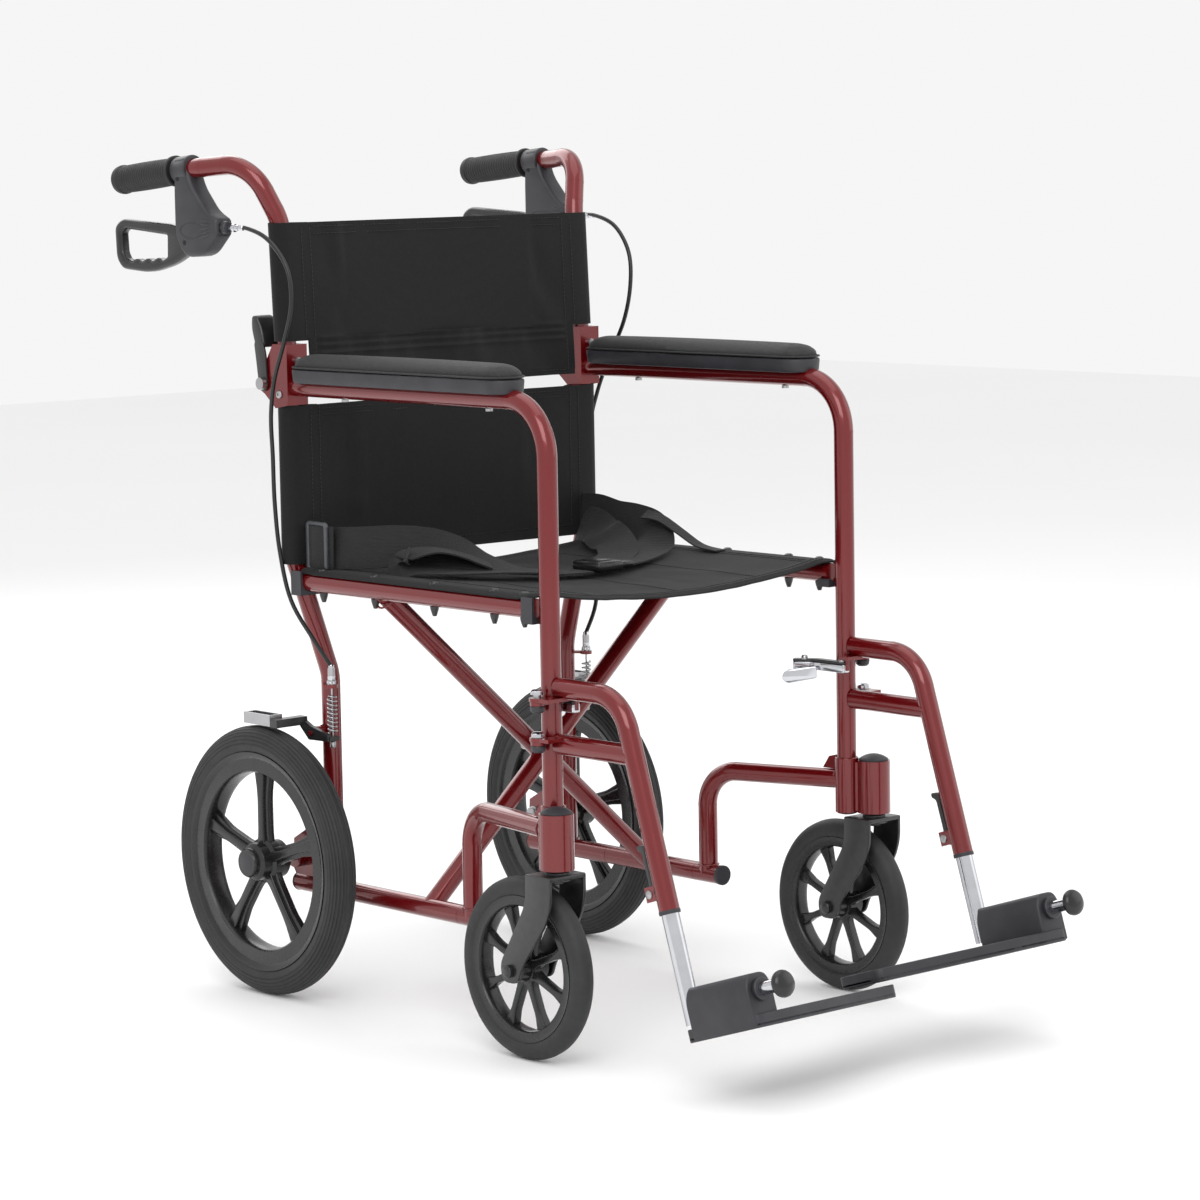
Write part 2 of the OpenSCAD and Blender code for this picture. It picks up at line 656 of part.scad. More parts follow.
module belt_hardware() {
    color([0.25, 0.25, 0.27]) {
        difference() {
            translate([-211.5, -142, 504.5]) cube([3, 38, 54]);
            translate([-213, -134, 510]) cube([6, 22, 40]);
        }
        translate([-15, -335, 506]) cube([32, 58, 12]);
    }
}

placed() right_side() frame_side();  // frame_right
placed() frame_side();  // frame_left
placed() right_side() trim_side();  // trim_right
placed() trim_side();  // trim_left
placed() right_side() screws_side();  // screws_right
placed() screws_side();  // screws_left
placed() right_side() arm_base_side();  // arm_base_right
placed() arm_base_side();  // arm_base_left
placed() right_side() arm_pad_side();  // arm_pad_right
placed() arm_pad_side();  // arm_pad_left
placed() right_side() cane_side();  // back_cane_right
placed() cane_side();  // back_cane_left
placed() right_side() grip_side();  // grip_right
placed() grip_side();  // grip_left
placed() right_side() brake_housing_side();  // brake_housing_right
placed() brake_housing_side();  // brake_housing_left
placed() right_side() brake_lever_side();  // brake_lever_right
placed() brake_lever_side();  // brake_lever_left
placed() right_side() brake_cable_side();  // brake_cable_right
placed() brake_cable_side();  // brake_cable_left
placed() right_side() release_lever_side();  // release_lever_right
placed() release_lever_side();  // release_lever_left
placed() right_side() brake_arm_side();  // brake_arm_right
placed() brake_arm_side();  // brake_arm_left
placed() right_side() brake_shoe_side();  // brake_shoe_right
placed() brake_shoe_side();  // brake_shoe_left
placed() right_side() brake_spring_side();  // brake_spring_right
placed() brake_spring_side();  // brake_spring_left
placed() right_side() rear_rim_side();  // rear_rim_right
placed() rear_rim_side();  // rear_rim_left
placed() right_side() rear_tyre_side();  // rear_tyre_right
placed() rear_tyre_side();  // rear_tyre_left
placed() right_side() caster_fork_side();  // caster_fork_right
placed() caster_fork_side();  // caster_fork_left
placed() right_side() caster_bolts_side();  // caster_bolts_right
placed() caster_bolts_side();  // caster_bolts_left
placed() right_side() caster_rim_side();  // caster_rim_right
placed() caster_rim_side();  // caster_rim_left
placed() right_side() caster_tyre_side();  // caster_tyre_right
placed() caster_tyre_side();  // caster_tyre_left
placed() brace(brace_front_y);  // brace_front
placed() right_side() brace(brace_rear_y);  // brace_rear
placed() brace_bolt();
placed() right_side() hanger_side();  // footrest_hanger_right
placed() hanger_side();  // footrest_hanger_left
placed() right_side() latch_side();  // latch_lever_right
placed() latch_side();  // latch_lever_left
placed() right_side() height_lever_side();  // height_lever_right
placed() height_lever_side();  // height_lever_left
placed() right_side() extension(right_reach);  // extension_right
placed() extension(left_reach);  // extension_left
placed() right_side() bar_knob(right_reach);  // bar_knob_right
placed() bar_knob(left_reach);  // bar_knob_left
placed() right_side() footplate(right_reach);  // footplate_right
placed() footplate(left_reach);  // footplate_left
placed() seat_sling();
placed() back_upper();
placed() back_lower();
placed() lap_belt();
placed() belt_hardware();
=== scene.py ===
import bpy
import bmesh
import json
import math
from mathutils import Matrix, Vector, noise


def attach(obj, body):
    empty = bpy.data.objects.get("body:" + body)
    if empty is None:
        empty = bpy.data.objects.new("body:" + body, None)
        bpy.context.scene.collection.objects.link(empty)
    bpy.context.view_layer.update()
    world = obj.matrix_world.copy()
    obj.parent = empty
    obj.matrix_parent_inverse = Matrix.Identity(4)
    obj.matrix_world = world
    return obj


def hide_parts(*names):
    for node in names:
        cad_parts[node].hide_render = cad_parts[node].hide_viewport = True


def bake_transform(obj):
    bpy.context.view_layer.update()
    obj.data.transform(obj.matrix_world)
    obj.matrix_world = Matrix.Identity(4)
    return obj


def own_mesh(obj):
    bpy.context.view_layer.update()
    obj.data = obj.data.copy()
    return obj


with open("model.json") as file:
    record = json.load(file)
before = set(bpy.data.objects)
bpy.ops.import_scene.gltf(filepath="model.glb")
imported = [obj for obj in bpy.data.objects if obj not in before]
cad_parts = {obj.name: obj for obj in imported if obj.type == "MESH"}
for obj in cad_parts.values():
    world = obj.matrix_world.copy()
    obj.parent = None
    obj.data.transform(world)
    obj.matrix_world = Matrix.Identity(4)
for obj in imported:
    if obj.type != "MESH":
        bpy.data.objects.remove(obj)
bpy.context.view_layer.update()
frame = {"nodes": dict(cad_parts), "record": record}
rearAxleY = 318.5  # the pieces are drawn in millimetres from the line of the rear axles
sides = {"right": -1, "left": 1}


# Makers of plain shapes: each returns points and faces in millimetres.

def at(x, y, z):
    return Vector((x, y + rearAxleY, z)) / 1000


def shape():
    return {"verts": [], "faces": []}


def addTo(target, part):
    verts, faces = part
    start = len(target["verts"])
    target["verts"] += [Vector(v) for v in verts]
    target["faces"] += [tuple(i + start for i in f) for f in faces]


def addShape(target, made):
    addTo(target, (made["verts"], made["faces"]))


def softenEdges(mesh, sharpAngle):
    work = bmesh.new()
    work.from_mesh(mesh)
    bmesh.ops.remove_doubles(work, verts=work.verts, dist=0.00002)
    bmesh.ops.recalc_face_normals(work, faces=work.faces)
    for face in work.faces:
        face.smooth = True
    for edge in work.edges:
        edge.smooth = len(edge.link_faces) != 2 or edge.calc_face_angle(0) < math.radians(sharpAngle)
    work.to_mesh(mesh)
    work.free()


def makePiece(name, made, material, side=1, sharpAngle=38):
    mesh = bpy.data.meshes.new(name)
    mesh.from_pydata([at(side * v[0], v[1], v[2]) for v in made["verts"]], [], made["faces"])
    softenEdges(mesh, sharpAngle)
    mesh.materials.append(material)
    piece = bpy.data.objects.new(name, mesh)
    bpy.context.collection.objects.link(piece)
    return piece


def bakeModifiers(piece):
    graph = bpy.context.evaluated_depsgraph_get()
    mesh = bpy.data.meshes.new_from_object(piece.evaluated_get(graph))
    piece.modifiers.clear()
    piece.data = mesh


def finishPiece(piece, body, slotName, *nodes):
    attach(piece, body)
    if nodes:
        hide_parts(*nodes)
    return piece


def basis(direction, hint=(0, 0, 1)):
    w = Vector(direction).normalized()
    h = Vector(hint)
    if abs(w.dot(h.normalized())) > 0.97:
        h = Vector((1, 0, 0)) if abs(w.x) < 0.9 else Vector((0, 1, 0))
    u = h.cross(w).normalized()
    return u, w.cross(u), w


def lathe(profile, centre, axis, steps=48, closed=False):
    u, v, w = basis(axis)
    c = Vector(centre)
    verts, faces = [], []
    n = len(profile)
    for s in range(steps):
        a = 2 * math.pi * s / steps
        out = u * math.cos(a) + v * math.sin(a)
        verts += [c + out * r + w * h for r, h in profile]
    for s in range(steps):
        t = (s + 1) % steps
        for k in range(n if closed else n - 1):
            m = (k + 1) % n
            faces.append((s * n + k, t * n + k, t * n + m, s * n + m))
    return verts, faces


def sweep(points, radius, sides=14, capped=True):
    pts = [Vector(p) for p in points]
    n = len(pts)
    verts, faces = [], []
    way = (pts[1] - pts[0]).normalized()
    u, v, w = basis(way)
    for i, p in enumerate(pts):
        now = (pts[min(i + 1, n - 1)] - pts[max(i - 1, 0)]).normalized()
        turn = way.rotation_difference(now)
        u, v, way = turn @ u, turn @ v, now
        r = radius(i / (n - 1)) if callable(radius) else radius
        verts += [p + (u * math.cos(2 * math.pi * k / sides) + v * math.sin(2 * math.pi * k / sides)) * r
                  for k in range(sides)]
    for i in range(n - 1):
        for k in range(sides):
            m = (k + 1) % sides
            faces.append((i * sides + k, i * sides + m, (i + 1) * sides + m, (i + 1) * sides + k))
    if capped:
        faces.append(tuple(range(sides)))
        faces.append(tuple((n - 1) * sides + k for k in range(sides)))
    return verts, faces


def softCurve(points, per=8):
    # a smooth line through given points
    pts = [Vector(p) for p in points]
    out = []
    for i in range(len(pts) - 1):
        a, b, c, d = pts[max(i - 1, 0)], pts[i], pts[i + 1], pts[min(i + 2, len(pts) - 1)]
        for k in range(per):
            f = k / per
            out.append(0.5 * (2 * b + (c - a) * f + (2 * a - 5 * b + 4 * c - d) * f * f
                              + (3 * b - a - 3 * c + d) * f ** 3))
    out.append(pts[-1])
    return out


def roundCorners(points, radius, steps=5):
    # rounds each corner of a flat outline
    out = []
    n = len(points)
    for i in range(n):
        p = Vector(points[i])
        a, b = Vector(points[i - 1]) - p, Vector(points[(i + 1) % n]) - p
        r = radius[i] if isinstance(radius, (list, tuple)) else radius
        reach = min(r, a.length * 0.45, b.length * 0.45)
        start, end = p + a.normalized() * reach, p + b.normalized() * reach
        for k in range(steps + 1):
            f = k / steps
            out.append(start * (1 - f) ** 2 + p * 2 * f * (1 - f) + end * f * f)
    return out


def cutPlate(loops, thickness, bevel, place):
    # a plate with rounded edges cut to an outline; further loops are holes.
    # place turns (u, v, w) into a point.
    curve = bpy.data.curves.new("cut", "CURVE")
    curve.dimensions = "2D"
    curve.fill_mode = "BOTH"
    curve.extrude = thickness / 2 - bevel
    curve.bevel_depth = bevel
    curve.bevel_resolution = 2
    curve.offset = -bevel
    for loop in loops:
        line = curve.splines.new("POLY")
        line.points.add(len(loop) - 1)
        for p, q in zip(line.points, loop):
            p.co = (q[0], q[1], 0, 1)
        line.use_cyclic_u = True
    holder = bpy.data.objects.new("cut", curve)
    bpy.context.collection.objects.link(holder)
    mesh = bpy.data.meshes.new_from_object(holder.evaluated_get(bpy.context.evaluated_depsgraph_get()))
    made = [place(v.co.x, v.co.y, v.co.z) for v in mesh.vertices], [tuple(f.vertices) for f in mesh.polygons]
    bpy.data.objects.remove(holder)
    bpy.data.curves.remove(curve)
    bpy.data.meshes.remove(mesh)
    return made


def sidePlate(x, thickness, outline, bevel=1.0, holes=()):
    return cutPlate([outline, *holes], thickness, bevel, lambda u, v, w: Vector((x + w, u, v)))


def softBox(low, high, radius, steps=3, turn=None):
    work = bmesh.new()
    bmesh.ops.create_cube(work, size=1)
    size = Vector(high) - Vector(low)
    mid = (Vector(high) + Vector(low)) / 2
    for v in work.verts:
        v.co = Vector((v.co.x * size.x, v.co.y * size.y, v.co.z * size.z))
    bmesh.ops.bevel(work, geom=list(work.edges), offset=radius, segments=steps, profile=0.5, affect="EDGES")
    for v in work.verts:
        v.co = (turn @ v.co if turn else v.co) + mid
    work.verts.index_update()
    made = [v.co.copy() for v in work.verts], [tuple(v.index for v in f.verts) for f in work.faces]
    work.free()
    return made


def stitchRow(points, out, length=3.2, gap=1.6, radius=0.42):
    # short raised stitches along a line; out is the way the cloth faces
    made = shape()
    pts = [Vector(p) for p in points]
    travelled, nextAt = 0.0, 1.0
    lift = Vector(out).normalized() * 0.25
    for a, b in zip(pts, pts[1:]):
        span = (b - a).length
        way = (b - a).normalized()
        while nextAt < travelled + span:
            start = a + way * (nextAt - travelled) + lift
            mid, end = start + way * length / 2 + lift * 1.2, start + way * length
            addTo(made, sweep([start, mid, end], radius, 5))
            nextAt += length + gap
        travelled += span
    return made


def joined(*made):
    out = shape()
    for m in made:
        addShape(out, m)
    return out


def hexBolt(centre, axis, size=9, height=4, washer=0):
    made = shape()
    if washer:
        addTo(made, lathe([(0, 0), (washer, 0), (washer, 1.0), (0, 1.0)], centre, axis, 28))
    low = 1.0 if washer else 0
    h = low + height
    addTo(made, lathe([(0, low), (size * 0.56, low), (size * 0.58, low + 0.5), (size * 0.58, h - 0.8),
                       (size * 0.5, h), (0, h)], centre, axis, 6))
    return made


def domeBolt(centre, axis, radius=5, height=2.6):
    profile = [(0, 0), (radius, 0), (radius, height * 0.3), (radius * 0.86, height * 0.72),
        (radius * 0.5, height * 0.96),
               (radius * 0.34, height), (radius * 0.3, height * 0.6), (0, height * 0.6)]
    made = shape()
    addTo(made, lathe(profile, centre, axis, 28))
    return made


cameraSetting = {"place": (-2.93415, -3.31017, 0.99090), "azimuth": -41.598, "elevation": 6.791,
    "roll": -0.991,
                 "lens": 118.10}


def setCamera():
    a, e, r = (math.radians(cameraSetting[k]) for k in ("azimuth", "elevation", "roll"))
    back = Vector((math.sin(a) * math.cos(e), -math.cos(a) * math.cos(e), math.sin(e)))
    right = Vector((0, 0, 1)).cross(back).normalized()
    up = back.cross(right)
    turnedRight = right * math.cos(r) + up * math.sin(r)
    turnedUp = up * math.cos(r) - right * math.sin(r)
    data = bpy.data.cameras.new("camera")
    data.sensor_width = 36
    data.lens = cameraSetting["lens"]
    data.clip_end = 60
    camera = bpy.data.objects.new("camera", data)
    bpy.context.collection.objects.link(camera)
    camera.matrix_world = Matrix.Translation(cameraSetting["place"]) @ Matrix(
        (turnedRight, turnedUp, back)).transposed().to_4x4()
    bpy.context.scene.camera = camera


lightSetting = {
    "key": {"place": (-2.6, -2.4, 3.0), "size": 2.6, "power": 66},
    "fill": {"place": (2.8, -2.2, 2.0), "size": 2.8, "power": 16},
    "back": {"place": (0.6, 3.0, 2.6), "size": 2.6, "power": 40},
    "top": {"place": (0.0, 0.0, 3.6), "size": 2.8, "power": 22},
    "world": 0.92,
}


def setLights():
    for name in ("key", "fill", "back", "top"):
        s = lightSetting[name]
        data = bpy.data.lights.new(name + "Light", "AREA")
        data.energy = s["power"]
        data.size = s["size"]
        light = bpy.data.objects.new(name + "Light", data)
        light.location = s["place"]
        light.rotation_mode = "QUATERNION"
        light.rotation_quaternion = (Vector((0, 0, 0.5)) - Vector(s["place"])).to_track_quat("-Z", "Y")
        bpy.context.collection.objects.link(light)
    world = bpy.data.worlds.new("studio")
    bpy.context.scene.world = world
    world.use_nodes = True
    back = world.node_tree.nodes["Background"]
    back.inputs["Color"].default_value = (1, 1, 1, 1)
    back.inputs["Strength"].default_value = lightSetting["world"]
    bpy.context.scene.view_settings.view_transform = "Standard"


def makeFloor():
    made = shape()
    addTo(made, ([(-9000, -9000, 0), (9000, -9000, 0), (9000, 9000, 0), (-9000, 9000, 0)], [(0, 1, 2, 3)]))
    floor = makePiece("floor", made, floorMatte())


# Materials: every one is made from nodes, with detail at real scale.

def newMaterial(name):
    material = bpy.data.materials.new(name)
    material.use_nodes = True
    tree = material.node_tree
    return material, tree, tree.nodes["Principled BSDF"]


def node(tree, kind, **values):
    n = tree.nodes.new(kind)
    for key, value in values.items():
        if key in n.inputs:
            n.inputs[key].default_value = value
        else:
            setattr(n, key, value)
    return n


def inMillimetres(tree, scale=(1, 1, 1)):
    # object coordinates turned into a texture space; pieces stand in metres
    coordinates = node(tree, "ShaderNodeTexCoord")
    mapping = node(tree, "ShaderNodeMapping")
    mapping.inputs["Scale"].default_value = scale
    tree.links.new(coordinates.outputs["Object"], mapping.inputs["Vector"])
    return mapping.outputs["Vector"]


def noiseOf(tree, vector, scale, detail=3, roughness=0.5):
    n = node(tree, "ShaderNodeTexNoise", Scale=scale, Detail=detail, Roughness=roughness)
    tree.links.new(vector, n.inputs["Vector"])
    return n.outputs["Fac"]


def rampOf(tree, value, low, high, lowColour, highColour):
    n = node(tree, "ShaderNodeValToRGB")
    n.color_ramp.elements[0].position = low
    n.color_ramp.elements[1].position = high
    n.color_ramp.elements[0].color = (*lowColour, 1)
    n.color_ramp.elements[1].color = (*highColour, 1)
    tree.links.new(value, n.inputs["Fac"])
    return n.outputs["Color"]


def rangeOf(tree, value, low, high):
    n = node(tree, "ShaderNodeMapRange")
    n.inputs["To Min"].default_value = low
    n.inputs["To Max"].default_value = high
    tree.links.new(value, n.inputs["Value"])
    return n.outputs["Result"]


def mathOf(tree, operation, a, b):
    n = node(tree, "ShaderNodeMath", operation=operation)
    for socket, value in zip(n.inputs, (a, b)):
        if isinstance(value, (int, float)):
            socket.default_value = value
        else:
            tree.links.new(value, socket)
    return n.outputs[0]


def bumpOf(tree, shader, height, strength, distance):
    n = node(tree, "ShaderNodeBump", Strength=strength, Distance=distance)
    tree.links.new(height, n.inputs["Height"])
    tree.links.new(n.outputs["Normal"], shader.inputs["Normal"])


def setColour(tree, shader, output):
    tree.links.new(output, shader.inputs["Base Color"])


def setRoughness(tree, shader, output):
    tree.links.new(output, shader.inputs["Roughness"])


def floorMatte():
    material, tree, shader = newMaterial("floorMatte")
    vector = inMillimetres(tree)
    setColour(tree, shader, rampOf(tree, noiseOf(tree, vector, 0.4), 0.3, 0.7, (0.92, 0.92, 0.92),
        (0.94, 0.94, 0.94)))
    shader.inputs["Roughness"].default_value = 0.9
    return material


def redPaint():
    # deep red metallic paint under clear lacquer
    material, tree, shader = newMaterial("redPaint")
    vector = inMillimetres(tree)
    setColour(tree, shader, rampOf(tree, noiseOf(tree, vector, 2600, 2), 0.35, 0.7,
        (0.125, 0.0008, 0.0022), (0.19, 0.0014, 0.0036)))
    setRoughness(tree, shader, rangeOf(tree, noiseOf(tree, vector, 60), 0.2, 0.3))
    bumpOf(tree, shader, noiseOf(tree, vector, 420, 2), 0.05, 0.0004)
    shader.inputs["Metallic"].default_value = 0.35
    shader.inputs["Coat Weight"].default_value = 0.7
    shader.inputs["Coat Roughness"].default_value = 0.06
    return material


def mouldedPlastic(name, colour=(0.019, 0.019, 0.023), rough=0.46, grain=1400, depth=0.12):
    material, tree, shader = newMaterial(name)
    vector = inMillimetres(tree)
    bright = tuple(c * 1.5 + 0.002 for c in colour)
    setColour(tree, shader, rampOf(tree, noiseOf(tree, vector, 35), 0.3, 0.75, colour, bright))
    setRoughness(tree, shader, rangeOf(tree, noiseOf(tree, vector, 90), rough - 0.06, rough + 0.08))
    bumpOf(tree, shader, noiseOf(tree, vector, grain, 2), depth, 0.0004)
    return material


def coatedSteel(name, colour=(0.008, 0.008, 0.009), rough=0.34):
    # black coated metal with a fine orange peel
    material, tree, shader = newMaterial(name)
    vector = inMillimetres(tree)
    bright = tuple(c * 1.6 + 0.0015 for c in colour)
    setColour(tree, shader, rampOf(tree, noiseOf(tree, vector, 120), 0.35, 0.7, colour, bright))
    setRoughness(tree, shader, rangeOf(tree, noiseOf(tree, vector, 260), rough - 0.08, rough + 0.1))
    bumpOf(tree, shader, noiseOf(tree, vector, 900, 2), 0.14, 0.0004)
    shader.inputs["Coat Weight"].default_value = 0.35
    shader.inputs["Coat Roughness"].default_value = 0.25
    return material


def brightMetal(name, colour=(0.72, 0.73, 0.75), rough=0.12, streak=0.05):
    material, tree, shader = newMaterial(name)
    vector = inMillimetres(tree, (1, 1, 0.08))
    fine = noiseOf(tree, vector, 1800, 2)
    setColour(tree, shader, rampOf(tree, noiseOf(tree, inMillimetres(tree), 50), 0.3, 0.7,
        tuple(c * 0.9 for c in colour), colour))
    setRoughness(tree, shader, rangeOf(tree, fine, max(rough - 0.05, 0.02), rough + 0.08))
    bumpOf(tree, shader, fine, streak, 0.0002)
    shader.inputs["Metallic"].default_value = 1
    return material


def tyreRubber(name="tyreRubber", colour=(0.016, 0.016, 0.017)):
    material, tree, shader = newMaterial(name)
    vector = inMillimetres(tree)
    bright = tuple(c * 1.45 for c in colour)
    setColour(tree, shader, rampOf(tree, noiseOf(tree, vector, 30, 5), 0.35, 0.75, colour, bright))
    setRoughness(tree, shader, rangeOf(tree, noiseOf(tree, vector, 140), 0.52, 0.72))
    bumpOf(tree, shader, noiseOf(tree, vector, 1100, 3), 0.22, 0.0005)
    return material


def softRubber(name="softRubber"):
    return mouldedPlastic(name, (0.007, 0.007, 0.0075), 0.58, 1000, 0.2)


def wovenCloth(name, colour, pitch=0.9, fuzz=0.25, rough=0.82):
    # plain weave: threads cross along the piece's three directions, so no unwrapping is needed
    material, tree, shader = newMaterial(name)
    vector = inMillimetres(tree)
    turns = 2 * math.pi * 1000 / pitch / 6.2832
    waves = []
    for axis in ("X", "Y", "Z"):
        w = node(tree, "ShaderNodeTexWave", wave_type="BANDS", bands_direction=axis, Scale=turns * 0.314,
                 Distortion=1.2, Detail=1.0)
        tree.links.new(vector, w.inputs["Vector"])
        waves.append(w.outputs["Fac"])
    weave = mathOf(tree, "MAXIMUM", mathOf(tree, "MULTIPLY", waves[0], waves[2]),
        mathOf(tree, "MULTIPLY", waves[1], waves[0]))
    weave = mathOf(tree, "ADD", weave, mathOf(tree, "MULTIPLY", noiseOf(tree, vector, 1500, 2), fuzz))
    dark = tuple(c * 0.6 for c in colour)
    shade = mathOf(tree, "ADD", mathOf(tree, "MULTIPLY", weave, 0.3),
        mathOf(tree, "MULTIPLY", noiseOf(tree, vector, 14, 3), 0.5))
    setColour(tree, shader, rampOf(tree, shade, 0.2, 0.95, dark, colour))
    setRoughness(tree, shader, rangeOf(tree, noiseOf(tree, vector, 300), rough - 0.08, rough + 0.08))
    bumpOf(tree, shader, weave, 0.16, 0.0005)
    shader.inputs["Sheen Weight"].default_value = 0.06
    shader.inputs["Sheen Roughness"].default_value = 0.5
    shader.inputs["Specular IOR Level"].default_value = 0.3
    return material


def padVinyl():
    # textured upholstery cloth of the armrest pads
    material, tree, shader = newMaterial("padVinyl")
    vector = inMillimetres(tree)
    cells = node(tree, "ShaderNodeTexVoronoi", Scale=620)
    tree.links.new(vector, cells.inputs["Vector"])
    grain = mathOf(tree, "ADD", cells.outputs["Distance"],
        mathOf(tree, "MULTIPLY", noiseOf(tree, vector, 1500, 3), 0.6))
    setColour(tree, shader, rampOf(tree, grain, 0.15, 0.9, (0.004, 0.004, 0.0045), (0.017, 0.017, 0.018)))
    setRoughness(tree, shader, rangeOf(tree, noiseOf(tree, vector, 200), 0.62, 0.8))
    bumpOf(tree, shader, grain, 0.5, 0.0007)
    shader.inputs["Sheen Weight"].default_value = 0.05
    return material


def webbingWeave():
    material, tree, shader = newMaterial("webbingWeave")
    vector = inMillimetres(tree)
    ribs = []
    for axis, distortion in (("DIAGONAL", 0.6), ("Z", 0.4)):
        w = node(tree, "ShaderNodeTexWave", wave_type="BANDS", bands_direction=axis, Scale=210,
            Distortion=distortion, Detail=1.0)
        tree.links.new(vector, w.inputs["Vector"])
        ribs.append(w.outputs["Fac"])
    weave = mathOf(tree, "MULTIPLY", ribs[0], ribs[1])
    setColour(tree, shader, rampOf(tree, weave, 0.0, 0.9, (0.0045, 0.0045, 0.005), (0.014, 0.014, 0.015)))
    setRoughness(tree, shader, rangeOf(tree, noiseOf(tree, vector, 300), 0.66, 0.84))
    bumpOf(tree, shader, weave, 0.6, 0.0008)
    shader.inputs["Sheen Weight"].default_value = 0.05
    return material


def makeMaterials():
    return {
        "red_paint": redPaint(),
        "black_plastic": mouldedPlastic("mouldedBlack"),
        "black_gloss": mouldedPlastic("glossBlack", (0.008, 0.008, 0.009), 0.26, 1600, 0.06),
        "steel": brightMetal("zincSteel", (0.46, 0.46, 0.47), 0.28, 0.08),
        "chrome": brightMetal("polishedChrome", (0.60, 0.61, 0.64), 0.1, 0.02),
        "black_metal": coatedSteel("coatedBlack"),
        "grip_rubber": softRubber("gripRubber"),
        "cable_jacket": mouldedPlastic("cableJacket", (0.006, 0.006, 0.0065), 0.32, 900, 0.05),
        "tyre": tyreRubber(),
        "vinyl": padVinyl(),
        "nylon": wovenCloth("nylonCloth", (0.0075, 0.0075, 0.0082)),
        "webbing": webbingWeave(),
        "thread": mouldedPlastic("sewingThread", (0.012, 0.012, 0.013), 0.6, 2500, 0.2),
        # near-black painted shade, put on discs where holes and screw recesses are open
        "hole_shade": mouldedPlastic("paintedHoleShade", (0.004, 0.004, 0.004), 0.8, 900, 0.1),
        "grey_plastic": mouldedPlastic("buckleGrey", (0.045, 0.047, 0.052), 0.34, 1600, 0.08),
    }


def dressFrame(paints):
    slotOf = {s["node"]: s["material_slot"] for s in frame["record"]["subparts"]}
    for name, obj in frame["nodes"].items():
        obj.data.materials.clear()
        obj.data.materials.append(paints[slotOf[name]])


setCamera()
setLights()
makeFloor()
paints = makeMaterials()
dressFrame(paints)
print("stage: camera, light, floor and materials made")


rearWheel = {"x": 237, "z": 157.5, "radius": 157.3, "half": 17.4, "rimInner": 104, "spokes": 5}
frontWheel = {"x": 240, "y": -467, "z": 100, "radius": 99.8, "half": 12.4, "rimInner": 68, "spokes": 8}


def tyreProfile(outer, bead, half, ribs):
    # (radius, offset) from one bead over the tread to the other, with raised ribs all round the shoulders
    depth = outer - bead
    right = []
    for r, share in ((0.0, 0.86), (0.10, 0.95), (0.26, 1.0)):
        right.append((bead + depth * r, half * share))
    for k in range(ribs):
        a = 0.30 + 0.62 * k / ribs
        span = 0.62 / ribs
        for da, lift in ((0.10, 0.0), (0.28, 1.0), (0.72, 1.0), (0.90, 0.0)):
            s = min(a + span * da, 1)
            angle = math.radians(90 * (s - 0.26) / 0.74)
            r = bead + depth * 0.26 + (depth * 0.74 - 1.1) * math.sin(angle) + 0.9 * lift * math.sin(angle)
            h = (half - 0.9) * math.cos(angle) ** 0.8 + 0.9 * lift * math.cos(angle)
            right.append((r, h))
    crown = [(outer - 0.9, half * 0.16), (outer, half * 0.12)]
    full = right + crown
    return full + [(r, -h) for r, h in reversed(full)]


def makeRearWheel(name, side):
    s = rearWheel
    centre = (s["x"], 0, s["z"])
    tyre = shape()
    addTo(tyre, lathe(tyreProfile(s["radius"], 128.2, s["half"], 6), centre, (1, 0, 0), 128, closed=True))
    finishPiece(makePiece("rearTyre_" + name, tyre, paints["tyre"], side, 30), "rear_wheel_" + name,
        "tyre", "rear_tyre_" + name)
    rim = shape()
    ring = [(104, -11.5), (105.5, -13.5), (120, -13), (123, -15.6), (127.8, -16.2), (128, -14),
        (128, 14), (127.8, 16.2),
            (123, 15.6), (120, 13), (105.5, 13.5), (104, 11.5), (102.8, 6), (102.8, -6)]
    addTo(rim, lathe(ring, centre, (1, 0, 0), 96, closed=True))
    hub = [(6.4, -20), (20, -20), (22, -18), (22, -7), (26, -5), (26, 5), (22, 8), (22, 19),
        (19.5, 21.5), (17, 22.5),
           (17, 27.5), (15.5, 29.6), (0, 30.2)]
    addTo(rim, lathe(hub, centre, (1, 0, 0), 48))
    for k in range(s["spokes"]):
        a = 2 * math.pi * k / s["spokes"] + 0.32
        out, across = Vector((0, math.cos(a), math.sin(a))), Vector((0, -math.sin(a), math.cos(a)))
        outline = roundCorners([(16, -13), (34, -9.5), (72, -9), (105, -15), (105, 15), (72, 9),
            (34, 9.5), (16, 13)], 6)
        for thick, shrink in ((9, 1.0), (17, 0.52)):
            loop = [(u, v * shrink) for u, v in outline]
            addTo(rim, cutPlate([loop], thick, 1.6, lambda u, v,
                w: Vector(centre) + out * u + across * v + Vector((w, 0, 0))))
    finishPiece(makePiece("rearRim_" + name, rim, paints["black_gloss"], side), "rear_wheel_" + name,
        "black_plastic", "rear_rim_" + name)
    cap = shape()
    addTo(cap, lathe([(0, 30.4), (9, 30.3), (11, 29.8), (11.4, 28)], centre, (1, 0, 0), 32))
    finishPiece(makePiece("hubCap_" + name, cap, paints["black_plastic"], side), "rear_wheel_" + name,
        "black_plastic")


